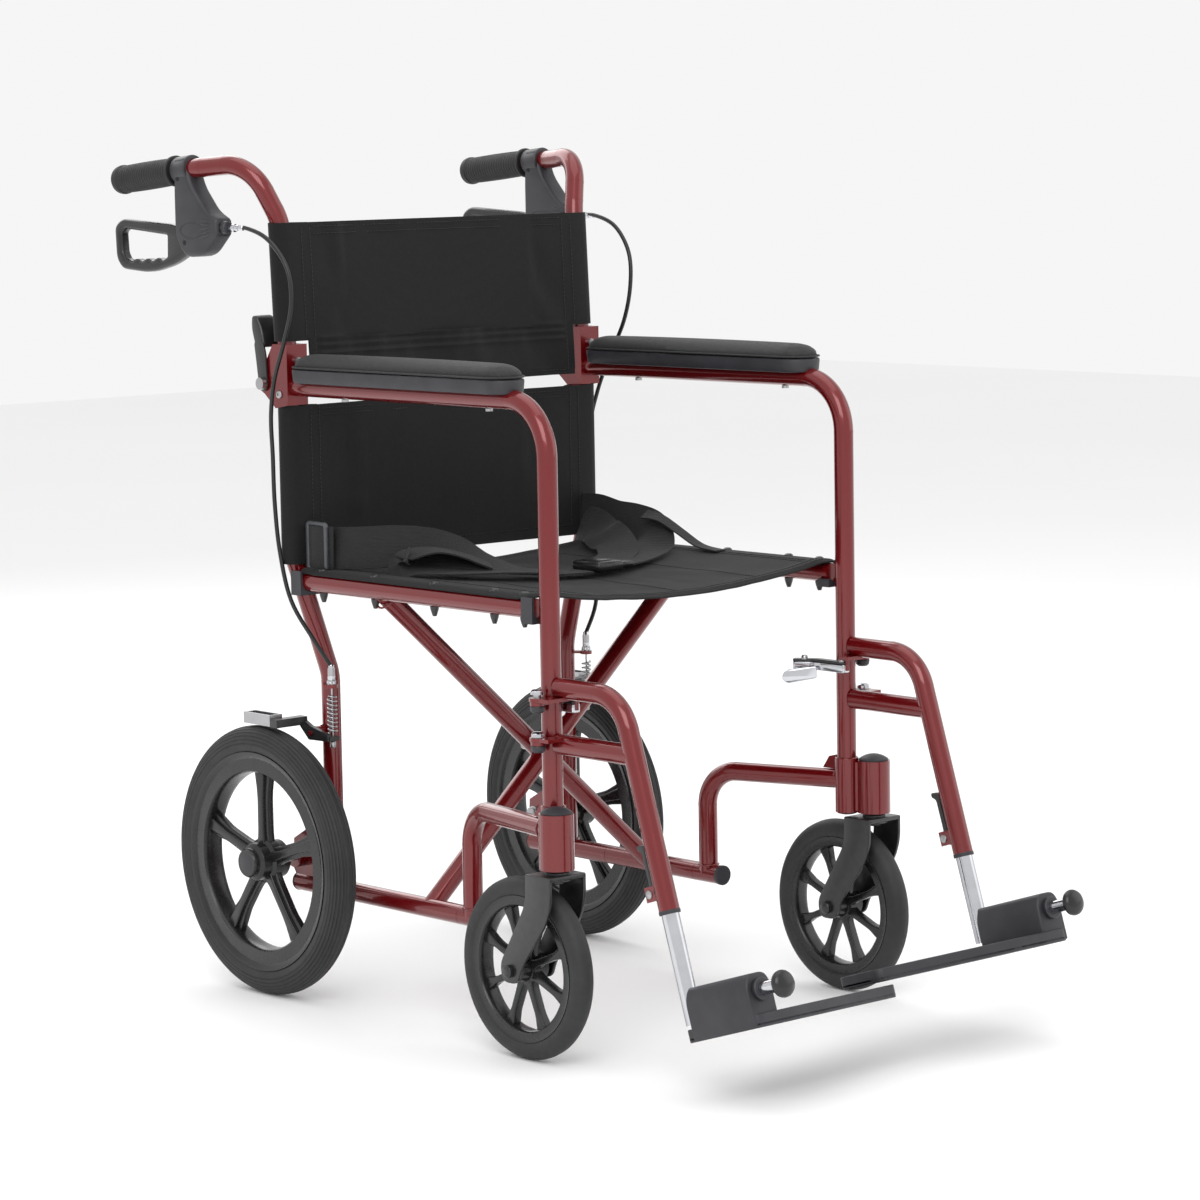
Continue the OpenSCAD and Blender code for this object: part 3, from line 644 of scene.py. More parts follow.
def makeFrontWheel(name, side):
    s = frontWheel
    centre = (s["x"], s["y"], s["z"])
    tyre = shape()
    profile = [(80.2, 10.6), (83, 11.9), (87, 12.4), (92, 11.6), (96, 9.2), (98.8, 5.2), (99.8, 0)]
    addTo(tyre, lathe(profile + [(r, -h) for r, h in reversed(profile[:-1])], centre, (1, 0, 0), 112,
        closed=True))
    finishPiece(makePiece("casterTyre_" + name, tyre, paints["tyre"], side, 50), "caster_wheel_" + name,
        "tyre", "caster_tyre_" + name)
    rim = shape()
    ring = [(68.5, -9), (70, -10.6), (77, -10.2), (79.8, -11.2), (80.1, -10), (80.1, 10), (79.8, 11.2),
        (77, 10.2), (70, 10.6),
            (68.5, 9), (67.6, 4), (67.6, -4)]
    addTo(rim, lathe(ring, centre, (1, 0, 0), 96, closed=True))
    hub = [(4.4, -19.6), (12.6, -19.6), (14, -18), (14, -6), (18, -4.5), (18, 4.5), (14, 6), (14, 18),
        (12.6, 19.6), (4.4, 19.6)]
    addTo(rim, lathe(hub, centre, (1, 0, 0), 40, closed=True))
    for k in range(s["spokes"]):
        a = 2 * math.pi * (k + 0.5) / s["spokes"]
        out, across = Vector((0, math.cos(a), math.sin(a))), Vector((0, -math.sin(a), math.cos(a)))
        outline = roundCorners([(11, -6.5), (24, -4), (52, -3.6), (69, -7.5), (69, 7.5), (52, 3.6),
            (24, 4), (11, 6.5)], 4)
        addTo(rim, cutPlate([outline], 11, 1.4, lambda u, v,
            w: Vector(centre) + out * u + across * v + Vector((w, 0, 0))))
    finishPiece(makePiece("casterRim_" + name, rim, paints["black_gloss"], side),
        "caster_wheel_" + name, "black_plastic", "caster_rim_" + name)


forkSetting = {"top": 209, "thick": 3.8}


def makeFork(name, side):
    s = forkSetting
    made = shape()
    x, y, z = frontWheel["x"], -518, frontWheel["z"]
    outline = roundCorners([(y - 17, 209), (y + 23, 209), (y + 23, 178), (frontWheel["y"] + 16, z + 6),
        (frontWheel["y"] + 12, z - 13),
                            (frontWheel["y"] - 12, z - 13), (frontWheel["y"] - 19, z + 6),
                                (y - 10, 160), (y - 17, 182)],
                           [2, 2, 14, 10, 9, 9, 12, 18, 10], 6)
    hole = [(frontWheel["y"] + 4.3 * math.cos(t * 0.5236), z + 4.3 * math.sin(t * 0.5236)) for t in range(12)]
    for leg in (-24, 24):
        addTo(made, sidePlate(x + leg, s["thick"], outline, 0.9, [hole]))
    addTo(made, softBox((x - 25.8, y - 17, 204.2), (x + 25.8, y + 23, 209.2), 1.4))
    addTo(made, lathe([(6.3, 209), (13, 209), (13, 211.4), (12.2, 212), (6.3, 212)], (x, y, 0),
        (0, 0, 1), 36, closed=True))
    addTo(made, lathe([(6.3, 204.3), (17, 204.3), (16, 202.6), (10, 201.4), (6.3, 201.4)], (x, y, 0),
        (0, 0, 1), 36, closed=True))
    finishPiece(makePiece("fork_" + name, made, paints["black_metal"], side), "caster_fork_" + name,
        "black_metal", "caster_fork_" + name)
    bolts = shape()
    for leg in (-1, 1):
        addTo(bolts, lathe([(0, 32.2), (3, 32.2), (5.6, 31.6), (7, 30.2), (7, 26.1), (0, 26.1)],
                           (x, frontWheel["y"], z), (leg, 0, 0), 28))
        addTo(bolts, lathe([(4.2, 22), (4.2, 19.7), (9, 19.7), (9, 21.9)], (x, frontWheel["y"], z),
            (leg, 0, 0), 28))
    addTo(bolts, lathe([(4, -26), (4, 26)], (x, frontWheel["y"], z), (1, 0, 0), 24))
    addShape(bolts, hexBolt((x, y, 203.6), (0, 0, -1), 15, 5))
    addTo(bolts, lathe([(5.95, 203), (5.95, 260)], (x, y, 0), (0, 0, 1), 28))
    finishPiece(makePiece("forkBolts_" + name, bolts, paints["black_metal"], side),
        "caster_fork_" + name, "steel", "caster_bolts_" + name)


handleStart = Vector((265, 60, 957))
handleWay = Vector((0, 145, -13)).normalized()
gripSetting = {"radius": 15.4, "rib": 0.75, "pitch": 4.6, "start": 42, "end": 148}


def makeGrip(name, side):
    s = gripSetting
    profile = [(11.4, 37), (16.8, 37), (18.0, 38.2), (18.0, 41.0), (16.6, 42.2), (15.2, 43.2)]
    place = s["start"] + 3
    while place < s["end"] - 10:
        waist = 0.7 * math.sin(math.pi * (place - s["start"]) / (s["end"] - s["start"]))
        r = s["radius"] + waist - 0.4
        profile += [(r, place), (r + s["rib"], place + s["pitch"] * 0.28),
            (r + s["rib"], place + s["pitch"] * 0.62), (r, place + s["pitch"] * 0.9)]
        place += s["pitch"]
    profile += [(15.4, 140), (16.9, 141.6), (17.1, 145), (16.4, 148.6), (13.5, 150.6), (6, 151.1), (0, 151.1)]
    made = shape()
    addTo(made, lathe(profile, handleStart, handleWay, 56))
    finishPiece(makePiece("grip_" + name, made, paints["grip_rubber"], side, 30), "cane_" + name,
        "grip_rubber", "grip_" + name)


housingSetting = {"thick": 26, "ribs": 5}


def makeBrakeHousing(name, side):
    s = housingSetting
    outline = roundCorners([(90, 930), (88, 968), (67, 970), (60, 940), (30, 908), (10, 899), (10, 881),
        (38, 857), (74, 855), (90, 880)],
                           [8, 4, 4, 14, 14, 4, 4, 12, 14, 20], 6)
    made = shape()
    addTo(made, sidePlate(265, s["thick"], outline, 5.5))
    addTo(made, lathe([(11.5, 5), (14.6, 5), (15.8, 6.4), (15.8, 31), (14.6, 32.6), (11.5, 32.6)],
        handleStart, handleWay, 44, closed=True))
    for face in (-1, 1):
        x = 265 + face * (s["thick"] / 2 - 0.2)
        for k in range(s["ribs"]):
            addTo(made, sweep([(x, 36, 877 + k * 5.4), (x, 22, 881 + k * 3.9),
                (x - face * 5, 9, 884.5 + k * 2.4)], 1.25, 8))
        oval = [(x, 57 + 21 * math.cos(a), 886 + 9 * math.sin(a))
                for a in (math.pi * k / 18 for k in range(37))]
        addTo(made, sweep(oval, 0.8, 6, capped=False))
    addTo(made, lathe([(0, 0), (6, 0), (7.2, 1.2), (7.6, 7), (7.6, 14), (0, 14)], (265, 2, 889.5),
        (0, 1, 0), 28))
    finishPiece(makePiece("brakeHousing_" + name, made, paints["black_plastic"], side), "cane_" + name,
        "black_plastic", "brake_housing_" + name)
    # dark discs: painted shade inside the screw recesses of the housing
    screwHoleShade = shape()
    for y, z in ((70, 872), (80, 945), (80, 958)):
        for out in (-1, 1):
            addTo(screwHoleShade, lathe([(0, 13.5), (1.7, 13.5), (2.9, 13.2), (3.1, 12.4)], (265, y, z),
                (out, 0, 0), 18))
    finishPiece(makePiece("housingScrewHoleShade_" + name, screwHoleShade, paints["hole_shade"], side), "cane_" + name,
        "black_metal")
    adjuster = shape()
    addTo(adjuster, lathe([(0, 0), (2.9, 0), (3.2, 0.8), (3.2, 7), (4.3, 7.4), (4.6, 8.2), (4.6, 12.6),
        (3.4, 13.2), (3.4, 20), (0, 20)],
                          (265, 2, 889), (0, -1, 0), 20))
    addTo(adjuster, lathe([(2.2, 20), (2.9, 20.4), (2.9, 28), (2.2, 28.6)], (265, 2, 889), (0, -1, 0), 18))
    finishPiece(makePiece("cableAdjuster_" + name, adjuster, paints["chrome"], side), "cane_" + name,
        "chrome")


leverSetting = {"thick": 13.5, "scallops": 4}


def makeBrakeLever(name, side):
    s = leverSetting
    outer = roundCorners([(58, 866), (62, 880), (104, 893), (205, 899), (219, 890), (217, 852),
        (206, 840), (150, 836), (104, 846), (72, 860)],
                         [6, 6, 12, 12, 10, 12, 12, 30, 14, 8], 6)
    inner = [(114, 880), (198, 887), (206, 882), (204.5, 860)]
    for k in range(s["scallops"] * 6 + 1):
        f = k / (s["scallops"] * 6)
        inner.append((199 - f * 84, 851 + 1.4 * math.cos(2 * math.pi * f * s["scallops"]) + 3.2 * f * f))
    made = shape()
    addTo(made, sidePlate(265, s["thick"], outer, 4.2, [roundCorners(inner, 2.5, 3)]))
    addTo(made, lathe([(0, -7.2), (5.2, -7.2), (6, -6.4), (6, 6.4), (5.2, 7.2), (0, 7.2)],
        (265, 66, 872), (1, 0, 0), 28))
    finishPiece(makePiece("brakeLever_" + name, made, paints["black_gloss"], side),
        "brake_lever_" + name, "black_gloss", "brake_lever_" + name)


def makeReleaseLever(name, side):
    made = shape()
    arm = roundCorners([(-29, 708), (-27, 745), (-22, 760), (-6, 760), (-10, 735), (-14, 706),
        (-22, 702)], [6, 6, 4, 6, 6, 6, 8])
    addTo(made, sidePlate(238.5, 2.9, arm, 0.7))
    paddle = roundCorners([(-24, 753), (-21, 772), (-11, 789), (-2, 789), (-1, 774), (-8, 752)],
        [4, 10, 6, 5, 8, 5], 6)
    addTo(made, sidePlate(227, 25.6, paddle, 3.2))
    for k in range(4):
        addTo(made, softBox((217, -10.5 + k * 2.4, 762 + k * 6.2),
            (237, -8.0 + k * 2.4, 764.4 + k * 6.2), 0.9, 2))
    finishPiece(makePiece("releaseLever_" + name, made, paints["black_metal"], side), "release_" + name,
        "black_metal", "release_lever_" + name)


cableWay = [(265, 0, 889), (264, -30, 889), (262, -68, 876), (258, -96, 845), (256, -100, 805),
    (257, -86, 762), (254, -62, 718),
            (248, -46, 676), (241, -38, 630), (240, -38, 575), (239, -44, 520), (234, -56, 465),
                (216, -72, 420), (195, -77, 387)]
cableSetting = {"radius": 2.5}


def makeCable(name, side):
    way = softCurve(cableWay, 7)
    made = shape()
    addTo(made, sweep(way, cableSetting["radius"], 12))
    piece = makePiece("brakeCable_" + name, made, paints["cable_jacket"], side, 60)
    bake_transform(piece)
    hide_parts("brake_cable_" + name)
    ends = shape()
    addTo(ends, lathe([(2.3, 0), (4.2, 0), (4.4, 1), (4.4, 5), (3.4, 5.6), (3.4, 17), (2.9, 18),
        (2.3, 18)], (195, -77, 371), (0, 0, 1), 20, closed=True))
    addShape(ends, hexBolt((195, -77, 366.1), (0, 0, 1), 9.5, 4.6))
    finishPiece(makePiece("cableEnd_" + name, ends, paints["chrome"], side), "frame_" + name, "steel")


springSetting = {"coils": 9, "radius": 5.0, "wire": 1.1, "low": 309, "high": 353}


def makeSpring(name, side):
    s = springSetting
    steps = s["coils"] * 16
    way = [(195 + s["radius"] * math.cos(2 * math.pi * k / 16),
        -77 + s["radius"] * math.sin(2 * math.pi * k / 16),
            s["low"] + (s["high"] - s["low"]) * k / steps) for k in range(steps + 1)]
    made = shape()
    addTo(made, sweep(way, s["wire"], 8))
    addTo(made, sweep([(195, -77, 297), (195, -77, 330), (195, -77, 365)], 1.1, 8))
    piece = makePiece("brakeSpring_" + name, made, paints["steel"], side, 60)
    finishPiece(piece, "frame_" + name, "steel", "brake_spring_" + name)
    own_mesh(piece)
    wireEnd = shape()
    addTo(wireEnd, lathe([(0, 0), (3, 0), (3.4, 0.8), (3.4, 6.4), (2.8, 7.2), (0, 7.2)],
        (195, -77, 293), (0, 0, 1), 18))
    finishPiece(makePiece("wireStop_" + name, wireEnd, paints["steel"], side), "brake_arm_" + name, "steel")


def sheetGrid(count, rows, point):
    # a grid of points u along and v across, each 0 to 1
    verts, faces = [], []
    for j in range(rows + 1):
        for i in range(count + 1):
            verts.append(Vector(point(i / count, j / rows)))
    for j in range(rows):
        for i in range(count):
            a = j * (count + 1) + i
            faces.append((a, a + 1, a + count + 2, a + count + 1))
    return verts, faces


def thicken(piece, depth):
    solid = piece.modifiers.new("cloth", "SOLIDIFY")
    solid.thickness = depth / 1000
    solid.offset = 0
    bakeModifiers(piece)
    softenEdges(piece.data, 50)


def wander(x, y, scale, amount, seed=0.0):
    return amount * noise.noise(Vector((x / scale + seed, y / scale - seed, seed * 1.7)))


seatSetting = {"front": -472, "rear": -71, "half": 232, "sagFront": 17, "sagRear": 12, "thick": 2.0,
    "wrinkle": 1.3}


def seatHeight(x, y):
    s = seatSetting
    share = (y - s["rear"]) / (s["front"] - s["rear"])
    sag = s["sagRear"] + (s["sagFront"] - s["sagRear"]) * share
    flat = min(abs(x) / 206, 1)
    z = 501.0 - sag * (1 - flat ** 2.2)
    if abs(x) > 222:
        z -= ((abs(x) - 222) / 10) ** 2 * 4.0
    ripple = wander(x, y, 60, s["wrinkle"] * 1.4, 3.1) + wander(x, y * 0.4, 26, s["wrinkle"] * 0.6, 7.7)
    return z + ripple * (1 - flat ** 3) * 0.9


def makeSeat():
    s = seatSetting
    def point(u, v):
        x = -s["half"] + 2 * s["half"] * u
        y = s["rear"] + (s["front"] - s["rear"]) * v
        hem = 0.9 if v < 0.045 or v > 0.955 else 0
        roll = -2.4 if v > 0.992 else 0
        return x, y, seatHeight(x, y) + hem + roll
    made = shape()
    addTo(made, sheetGrid(110, 90, point))
    seat = makePiece("seatSling", made, paints["nylon"], 1, 60)
    thicken(seat, s["thick"])
    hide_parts("seat_sling")
    rows = shape()
    def along(x):
        return [(x, s["rear"] - 4 - k * 8, seatHeight(x, s["rear"] - 4 - k * 8) + 1.0) for k in range(50)]
    def acrossAt(y):
        return [(-212 + k * 8, y, seatHeight(-212 + k * 8, y) + 1.9) for k in range(54)]
    for x in (-203, -197, 197, 203, -120, 120, 0):
        addShape(rows, stitchRow(along(x), (0, 0, 1)))
    for y in (s["rear"] - 5, s["rear"] - 14, s["front"] + 5, s["front"] + 14):
        addShape(rows, stitchRow(acrossAt(y), (0, 0, 1)))
    thread = makePiece("seatStitches", rows, paints["thread"], 1, 60)
    for piece in (seat, thread):
        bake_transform(piece)


def sleevePath(radius, axisX, frontSag, inner):
    # plan section of a panel: round behind the left tube, over its front and across to the right one
    left = [(axisX - inner, radius * 0.20 - radius + 4.6), (axisX - radius - 3, radius * 0.55)]
    for k in range(13):
        a = math.radians(128 - k * (128 + 90) / 12)
        left.append((axisX + radius * math.cos(a), radius * math.sin(a)))
    half = left + [(axisX - 10, -radius + 0.2)]
    span = axisX - 10
    middle = []
    for k in range(1, 60):
        x = span - 2 * span * k / 60
        middle.append((x, -radius + 0.2 + frontSag * (1 - (x / span) ** 2)))
    return half + middle + [(-x, y) for x, y in reversed(half)]


def panelPiece(name, path, low, high, axisAt, shapeIt, rows=46):
    def point(u, v):
        i = u * (len(path) - 1)
        x, y = path[round(i)]
        z = low + (high - low) * v
        dy = shapeIt(x, y, z)
        return x, axisAt(z) + y + dy, z
    made = shape()
    addTo(made, sheetGrid(len(path) - 1, rows, point))
    piece = makePiece(name, made, paints["nylon"], 1, 70)
    thicken(piece, 1.7)
    return piece


backSetting = {"upperLow": 760, "upperHigh": 894, "flapLow": 701, "lowerLow": 506, "lowerHigh": 687,
    "radius": 13.1}


def caneLean(z):
    return -46 + 8 * (z - 729) / 167


def upperFold(x, y, z):
    # wrinkles of the stretched upper panel and its quilted ridges
    if abs(x) > 206 or y > -9:
        return 0
    edge = min(1, (206 - abs(x)) / 60)
    dy = wander(x + (z - 830) * 0.5, z * 0.28, 46, 7.0, 1.3) * edge + wander(x, z * 0.5, 17, 1.6, 5.2) * edge
    return dy


def makeBackUpper():
    s = backSetting
    def ridge(z):
        return sum(-2.4 * math.exp(-((z - m) / 2.4) ** 2) for m in (745, 753.5, 762))
    path = sleevePath(s["radius"], 222, 7.5, 34)
    upper = panelPiece("backUpper", path, s["upperLow"], s["upperHigh"], caneLean,
                       lambda x, y, z: upperFold(x, y, z) + (ridge(z) if abs(x) < 186 and y < -9 else 0), 60)
    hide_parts("back_upper")
    flapHalf = 200
    def flapPoint(u, v):
        x = -flapHalf + 2 * flapHalf * u
        z = s["upperLow"] + 3 - (s["upperLow"] + 3 - s["flapLow"]) * v
        base = caneLean(z) - s["radius"] - 0.4 + 7.5 * (1 - (x / 212) ** 2)
        lift = (ridge(z) if abs(x) < 186 else 0) + (0.8 if v > 0.9 else 0)
        return x, base + upperFold(x, -13, z) * (1 - 0.3 * v) + lift, z
    made = shape()
    addTo(made, sheetGrid(96, 34, flapPoint))
    flap = makePiece("backFlap", made, paints["nylon"], 1, 70)
    thicken(flap, 1.9)
    rows = shape()
    def stitched(x, z0, z1):
        line = []
        for k in range(31):
            z = z0 + (z1 - z0) * k / 30
            line.append((x, caneLean(z) - s["radius"] + 0.2 + 7.5 * (1 - (x / 212) ** 2) + upperFold(x,
                -13, z) - 0.9, z))
        return stitchRow(line, (0, -1, 0))
    for x in (-203, -190, 190, 203):
        addShape(rows, stitched(x, 765 if abs(x) > 200 else 706, 888))
    for z in (889, 881, 707):
        line = [(x, caneLean(z) - s["radius"] - 0.2 + 7.5 * (1 - (x / 212) ** 2) + upperFold(x, -13,
            z) - 0.9, z) for x in range(-186, 187, 6)]
        addShape(rows, stitchRow(line, (0, -1, 0)))
    thread = makePiece("backUpperStitches", rows, paints["thread"], 1, 60)
    for piece in (upper, flap, thread):
        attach(piece, "cane_right")
        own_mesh(piece)


def makeBackLower():
    s = backSetting
    def wrinkle(x, y, z):
        if abs(x) > 206 or y > -9:
            return 0
        edge = min(1, (206 - abs(x)) / 60)
        return wander(x, z * 0.3, 48, 4.2, 8.3) * edge + wander(x, z, 20, 1.0, 2.2) * edge
    path = sleevePath(s["radius"], 222, 6.0, 34)
    lower = panelPiece("backLower", path, s["lowerLow"], s["lowerHigh"], lambda z: -48.0, wrinkle, 60)
    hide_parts("back_lower")
    rows = shape()
    for x in (-203, -190, 190, 203):
        line = [(x, -48 - s["radius"] + 0.2 + 6 * (1 - (x / 212) ** 2) + wrinkle(x, -13, z) - 0.9,
            z) for z in range(518, 684, 5)]
        addShape(rows, stitchRow(line, (0, -1, 0)))
    for z in (682, 675, 519):
        line = [(x, -48 - s["radius"] + 0.2 + 6 * (1 - (x / 212) ** 2) + wrinkle(x, -13, z) - 0.9,
            z) for x in range(-186, 187, 6)]
        addShape(rows, stitchRow(line, (0, -1, 0)))
    thread = makePiece("backLowerStitches", rows, paints["thread"], 1, 60)
    for piece in (lower, thread):
        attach(piece, "frame_right")
        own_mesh(piece)


padSetting = {"rear": -71, "front": -444, "half": 26.0, "base": 730.4, "swell": 0.96}


def puff(piece, voxel, pressure, reach):
    # swells a closed piece with cloth pressure, held to a small reach
    remesh = piece.modifiers.new("even", "REMESH")
    remesh.mode = "VOXEL"
    remesh.voxel_size = voxel
    bakeModifiers(piece)
    start = [v.co.copy() for v in piece.data.vertices]
    lowZ = min(v.z for v in start)
    pins = piece.vertex_groups.new(name="pins")
    pins.add([i for i, v in enumerate(start) if v.z < lowZ + 0.004], 1.0, "REPLACE")
    cloth = piece.modifiers.new("swell", "CLOTH")
    cloth.settings.use_pressure = True
    cloth.settings.uniform_pressure_force = pressure
    cloth.settings.vertex_group_mass = "pins"
    cloth.settings.effector_weights.gravity = 0
    cloth.settings.tension_stiffness = 25
    cloth.settings.bending_stiffness = 2
    scene = bpy.context.scene
    for f in range(1, 21):
        scene.frame_set(f)
    graph = bpy.context.evaluated_depsgraph_get()
    mesh = bpy.data.meshes.new_from_object(piece.evaluated_get(graph))
    piece.modifiers.clear()
    scene.frame_set(1)
    for v, s in zip(mesh.vertices, start):
        move = v.co - s
        v.co = s + (move.normalized() * reach if move.length > reach else move)
    piece.data = mesh
    smooth = piece.modifiers.new("even", "SMOOTH")
    smooth.iterations = 3
    divide = piece.modifiers.new("fine", "SUBSURF")
    divide.levels = divide.render_levels = 1
    bakeModifiers(piece)


def padOutline(shrink):
    # tapered, round-ended outline of the pad seen from above
    s = padSetting
    front, rear, half = s["front"] + shrink, s["rear"] - shrink, s["half"] - shrink
    pts = []
    for k in range(25):
        a = math.pi * k / 24
        pts.append((half * 0.96 * math.cos(a), rear - half + half * math.sin(a)))
    for k in range(25):
        a = math.pi + math.pi * k / 24
        pts.append((half * math.cos(a), front + half + half * math.sin(a)))
    return pts


def makeArmPad(name, side):
    s = padSetting
    rings = [(0.6, 0.0), (0.0, 2.6), (0.2, 5.6), (1.4, 8.8), (4.0, 12.2), (7.8, 15.2), (12.5, 17.4),
        (18.5, 18.9), (24.5, 19.4)]

    def lifted(v, lift):
        toEnd = min(v - s["front"], s["rear"] - v)
        return lift * (1 - 0.22 * (1 - min(toEnd / 90, 1)) ** 2) * s["swell"]
    made = shape()
    loops = [padOutline(shrink + 0.6) for shrink, lift in rings]
    n = len(loops[0])
    verts = [Vector((222 + u, v, s["base"] + lifted(v, rings[i][1]))) for i,
        loop in enumerate(loops) for u, v in loop]
    faces = []
    for i in range(len(loops) - 1):
        for k in range(n):
            m = (k + 1) % n
            faces.append((i * n + k, i * n + m, (i + 1) * n + m, (i + 1) * n + k))
    faces.append(tuple(range(n)))
    faces.append(tuple((len(loops) - 1) * n + k for k in range(n)))
    addTo(made, (verts, faces))
    pad = makePiece("armPad_" + name, made, paints["vinyl"], side, 80)
    puff(pad, 0.0042, 3.5, 0.0022)
    pad.data.materials.clear()
    pad.data.materials.append(paints["vinyl"])
    softenEdges(pad.data, 80)
    finishPiece(pad, "frame_" + name, "vinyl", "arm_pad_" + name)
    piping = shape()
    loop = [Vector((222 + u, v, s["base"] + 2.0)) for u, v in padOutline(-0.2)]
    addTo(piping, sweep(loop + loop[:2], 1.1, 8, capped=False))
    finishPiece(makePiece("armPiping_" + name, piping, paints["vinyl"], side, 60), "frame_" + name, "vinyl")


def makeArmBase(name, side):
    made = shape()
    def ring(half, z):
        pts = []
        for k in range(25):
            a = math.pi * k / 24
            pts.append(Vector((222 + half * math.cos(a), -70 - 25 + half * math.sin(a), z)))
        for k in range(25):
            a = math.pi + math.pi * k / 24
            pts.append(Vector((222 + half * math.cos(a), -445 + 25 + half * math.sin(a), z)))
        return pts
    levels = [(20, 714.2), (23.5, 715), (24.6, 717), (25.0, 722), (25.6, 727.6), (25.2, 729.4), (24.0, 730.1)]
    verts, faces = [], []
    for half, z in levels:
        verts += ring(half, z)
    n = 50
    for i in range(len(levels) - 1):
        for k in range(n):
            m = (k + 1) % n
            faces.append((i * n + k, i * n + m, (i + 1) * n + m, (i + 1) * n + k))
    faces.append(tuple(range(n)))
    faces.append(tuple((len(levels) - 1) * n + k for k in range(n)))
    addTo(made, (verts, faces))
    addTo(made, softBox((222 - 8, -436, 709), (222 + 8, -84, 716), 2))
    finishPiece(makePiece("armBase_" + name, made, paints["black_plastic"], side), "frame_" + name,
        "black_plastic", "arm_base_" + name)


beltSetting = {"width": 48, "thick": 1.9}


def strap(points, normals, width, thick):
    # a flat strip along points; normals say which way its face looks
    pts = [Vector(p) for p in points]
    n = len(pts)
    verts, faces = [], []
    for i, p in enumerate(pts):
        way = (pts[min(i + 1, n - 1)] - pts[max(i - 1, 0)]).normalized()
        out = Vector(normals[i]).normalized()
        sideWay = way.cross(out).normalized()
        out = sideWay.cross(way).normalized()
        steps = 6
        for k in range(steps + 1):
            f = k / steps - 0.5
            verts.append(p + sideWay * width * f + out * thick / 2)
        for k in range(steps + 1):
            f = 0.5 - k / steps
            verts.append(p + sideWay * width * f - out * thick / 2)
    m = 14
    for i in range(n - 1):
        for k in range(m):
            j = (k + 1) % m
            faces.append((i * m + k, i * m + j, (i + 1) * m + j, (i + 1) * m + k))
    faces.append(tuple(range(m)))
    faces.append(tuple((n - 1) * m + k for k in range(m)))
    return verts, faces


def beltRun(points, normals, width=None, thick=None, per=7):
    line = softCurve(points, per)
    look = softCurve(normals, per)
    return strap(line, look, width or beltSetting["width"], thick or beltSetting["thick"])


nearBelt = [((-213, -58, 524), (-1, 0, 0)), ((-210, -100, 526), (-1, 0, 0.1)),
    ((-198, -140, 528), (-0.9, -0.4, 0.2)),
            ((-174, -172, 530), (-0.7, -0.6, 0.3)), ((-148, -196, 528), (-0.6, -0.7, 0.4)),
                ((-122, -216, 521), (-0.4, -0.7, 0.7)),
            ((-96, -238, 509), (-0.1, -0.4, 1)), ((-66, -260, 500), (0, -0.1, 1)),
                ((-30, -278, 495), (0, 0, 1)), ((8, -292, 495), (0, 0, 1))]
nearTail = [((-40, -286, 498), (0, 0, 1)), ((-92, -262, 501), (0, 0, 1)), ((-138, -238, 503), (-0.1, 0, 1)),
            ((-176, -214, 507), (-0.3, 0, 1)), ((-194, -203, 514), (-1, 0.2, 0.1)),
                ((-182, -206, 523), (-0.2, 0.1, -1)),
            ((-152, -214, 527), (0.2, 0, -1)), ((-120, -226, 520), (0.3, 0, -1)),
                ((-92, -240, 508), (0.3, 0, -1))]
farBelt = [((206, -55, 530), (-1, 0, 0.1)), ((203, -90, 533), (-1, 0, 0.2)),
    ((198, -130, 528), (-1, -0.1, 0.3)),
           ((193, -168, 527), (-1, -0.2, 0.4)), ((187, -204, 522), (-0.9, -0.3, 0.6)),
               ((168, -232, 508), (-0.4, -0.3, 1)),
           ((134, -250, 500), (0, 0, 1)), ((96, -264, 497), (0, 0, 1)), ((52, -276, 496), (0, 0, 1))]
farLoop = [((200, -66, 519), (-0.9, 0.2, 0.4)), ((186, -102, 520), (-0.9, -0.3, 0.4)),
    ((170, -134, 517), (-0.7, -0.5, 0.6)),
           ((152, -164, 516), (-0.8, -0.2, 0.7)), ((140, -194, 510), (-0.5, -0.2, 1)),
               ((120, -222, 501), (-0.1, 0, 1)),
           ((92, -240, 497), (0, 0, 1))]
thinStrap = [((186, -196, 540), (-0.6, -0.3, 1)), ((190, -220, 536), (-0.2, -0.5, 1)),
    ((196, -246, 522), (0, -0.8, 1)),
             ((200, -276, 507), (0, -0.3, 1)), ((201, -310, 503), (0, 0, 1))]


def makeBelt():
    made = shape()
    wrap = [((-214.2, -112, 527), (-1, 0, 0)), ((-216.6, -98, 527), (-1, 0, 0)),
        ((-219.4, -86, 527), (-1, 0, 0)),
            ((-216.6, -74, 527), (-1, 0, 0)), ((-214.2, -60, 527), (-1, 0, 0))]
    for run in (nearBelt, nearTail, farBelt, farLoop, wrap):
        addTo(made, beltRun([p for p, n in run], [n for p, n in run]))
    addTo(made, beltRun([p for p, n in thinStrap], [n for p, n in thinStrap], 16, 1.6))
    belt = makePiece("lapBelt", made, paints["webbing"], 1, 50)
    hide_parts("lap_belt", "belt_hardware")
    slider = shape()
    frameLoop = roundCorners([(-29, -20), (29, -20), (29, 20), (-29, 20)], 6)
    window = roundCorners([(-24.5, -15), (24.5, -15), (24.5, 15), (-24.5, 15)], 3)
    addTo(slider, cutPlate([frameLoop, window], 4.4, 1.4, lambda u, v,
        w: Vector((-217.4 + w + 0.05 * v, -86 + v, 527 + u))))
    hardware = makePiece("beltSlider", slider, paints["grey_plastic"])
    buckle = shape()
    addTo(buckle, softBox((4, -318, 494), (44, -270, 506), 4.5))
    addTo(buckle, softBox((40, -310, 495.5), (66, -270, 503), 3))
    addTo(buckle, softBox((12, -308, 505), (34, -280, 507.4), 1.1))
    clasp = makePiece("beltBuckle", buckle, paints["black_gloss"])
    for piece in (belt, hardware, clasp):
        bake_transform(piece)


footSetting = {"lean": 17.8, "tube": 229, "barUp": 20}
reachOf = {"right": 119, "left": 100}


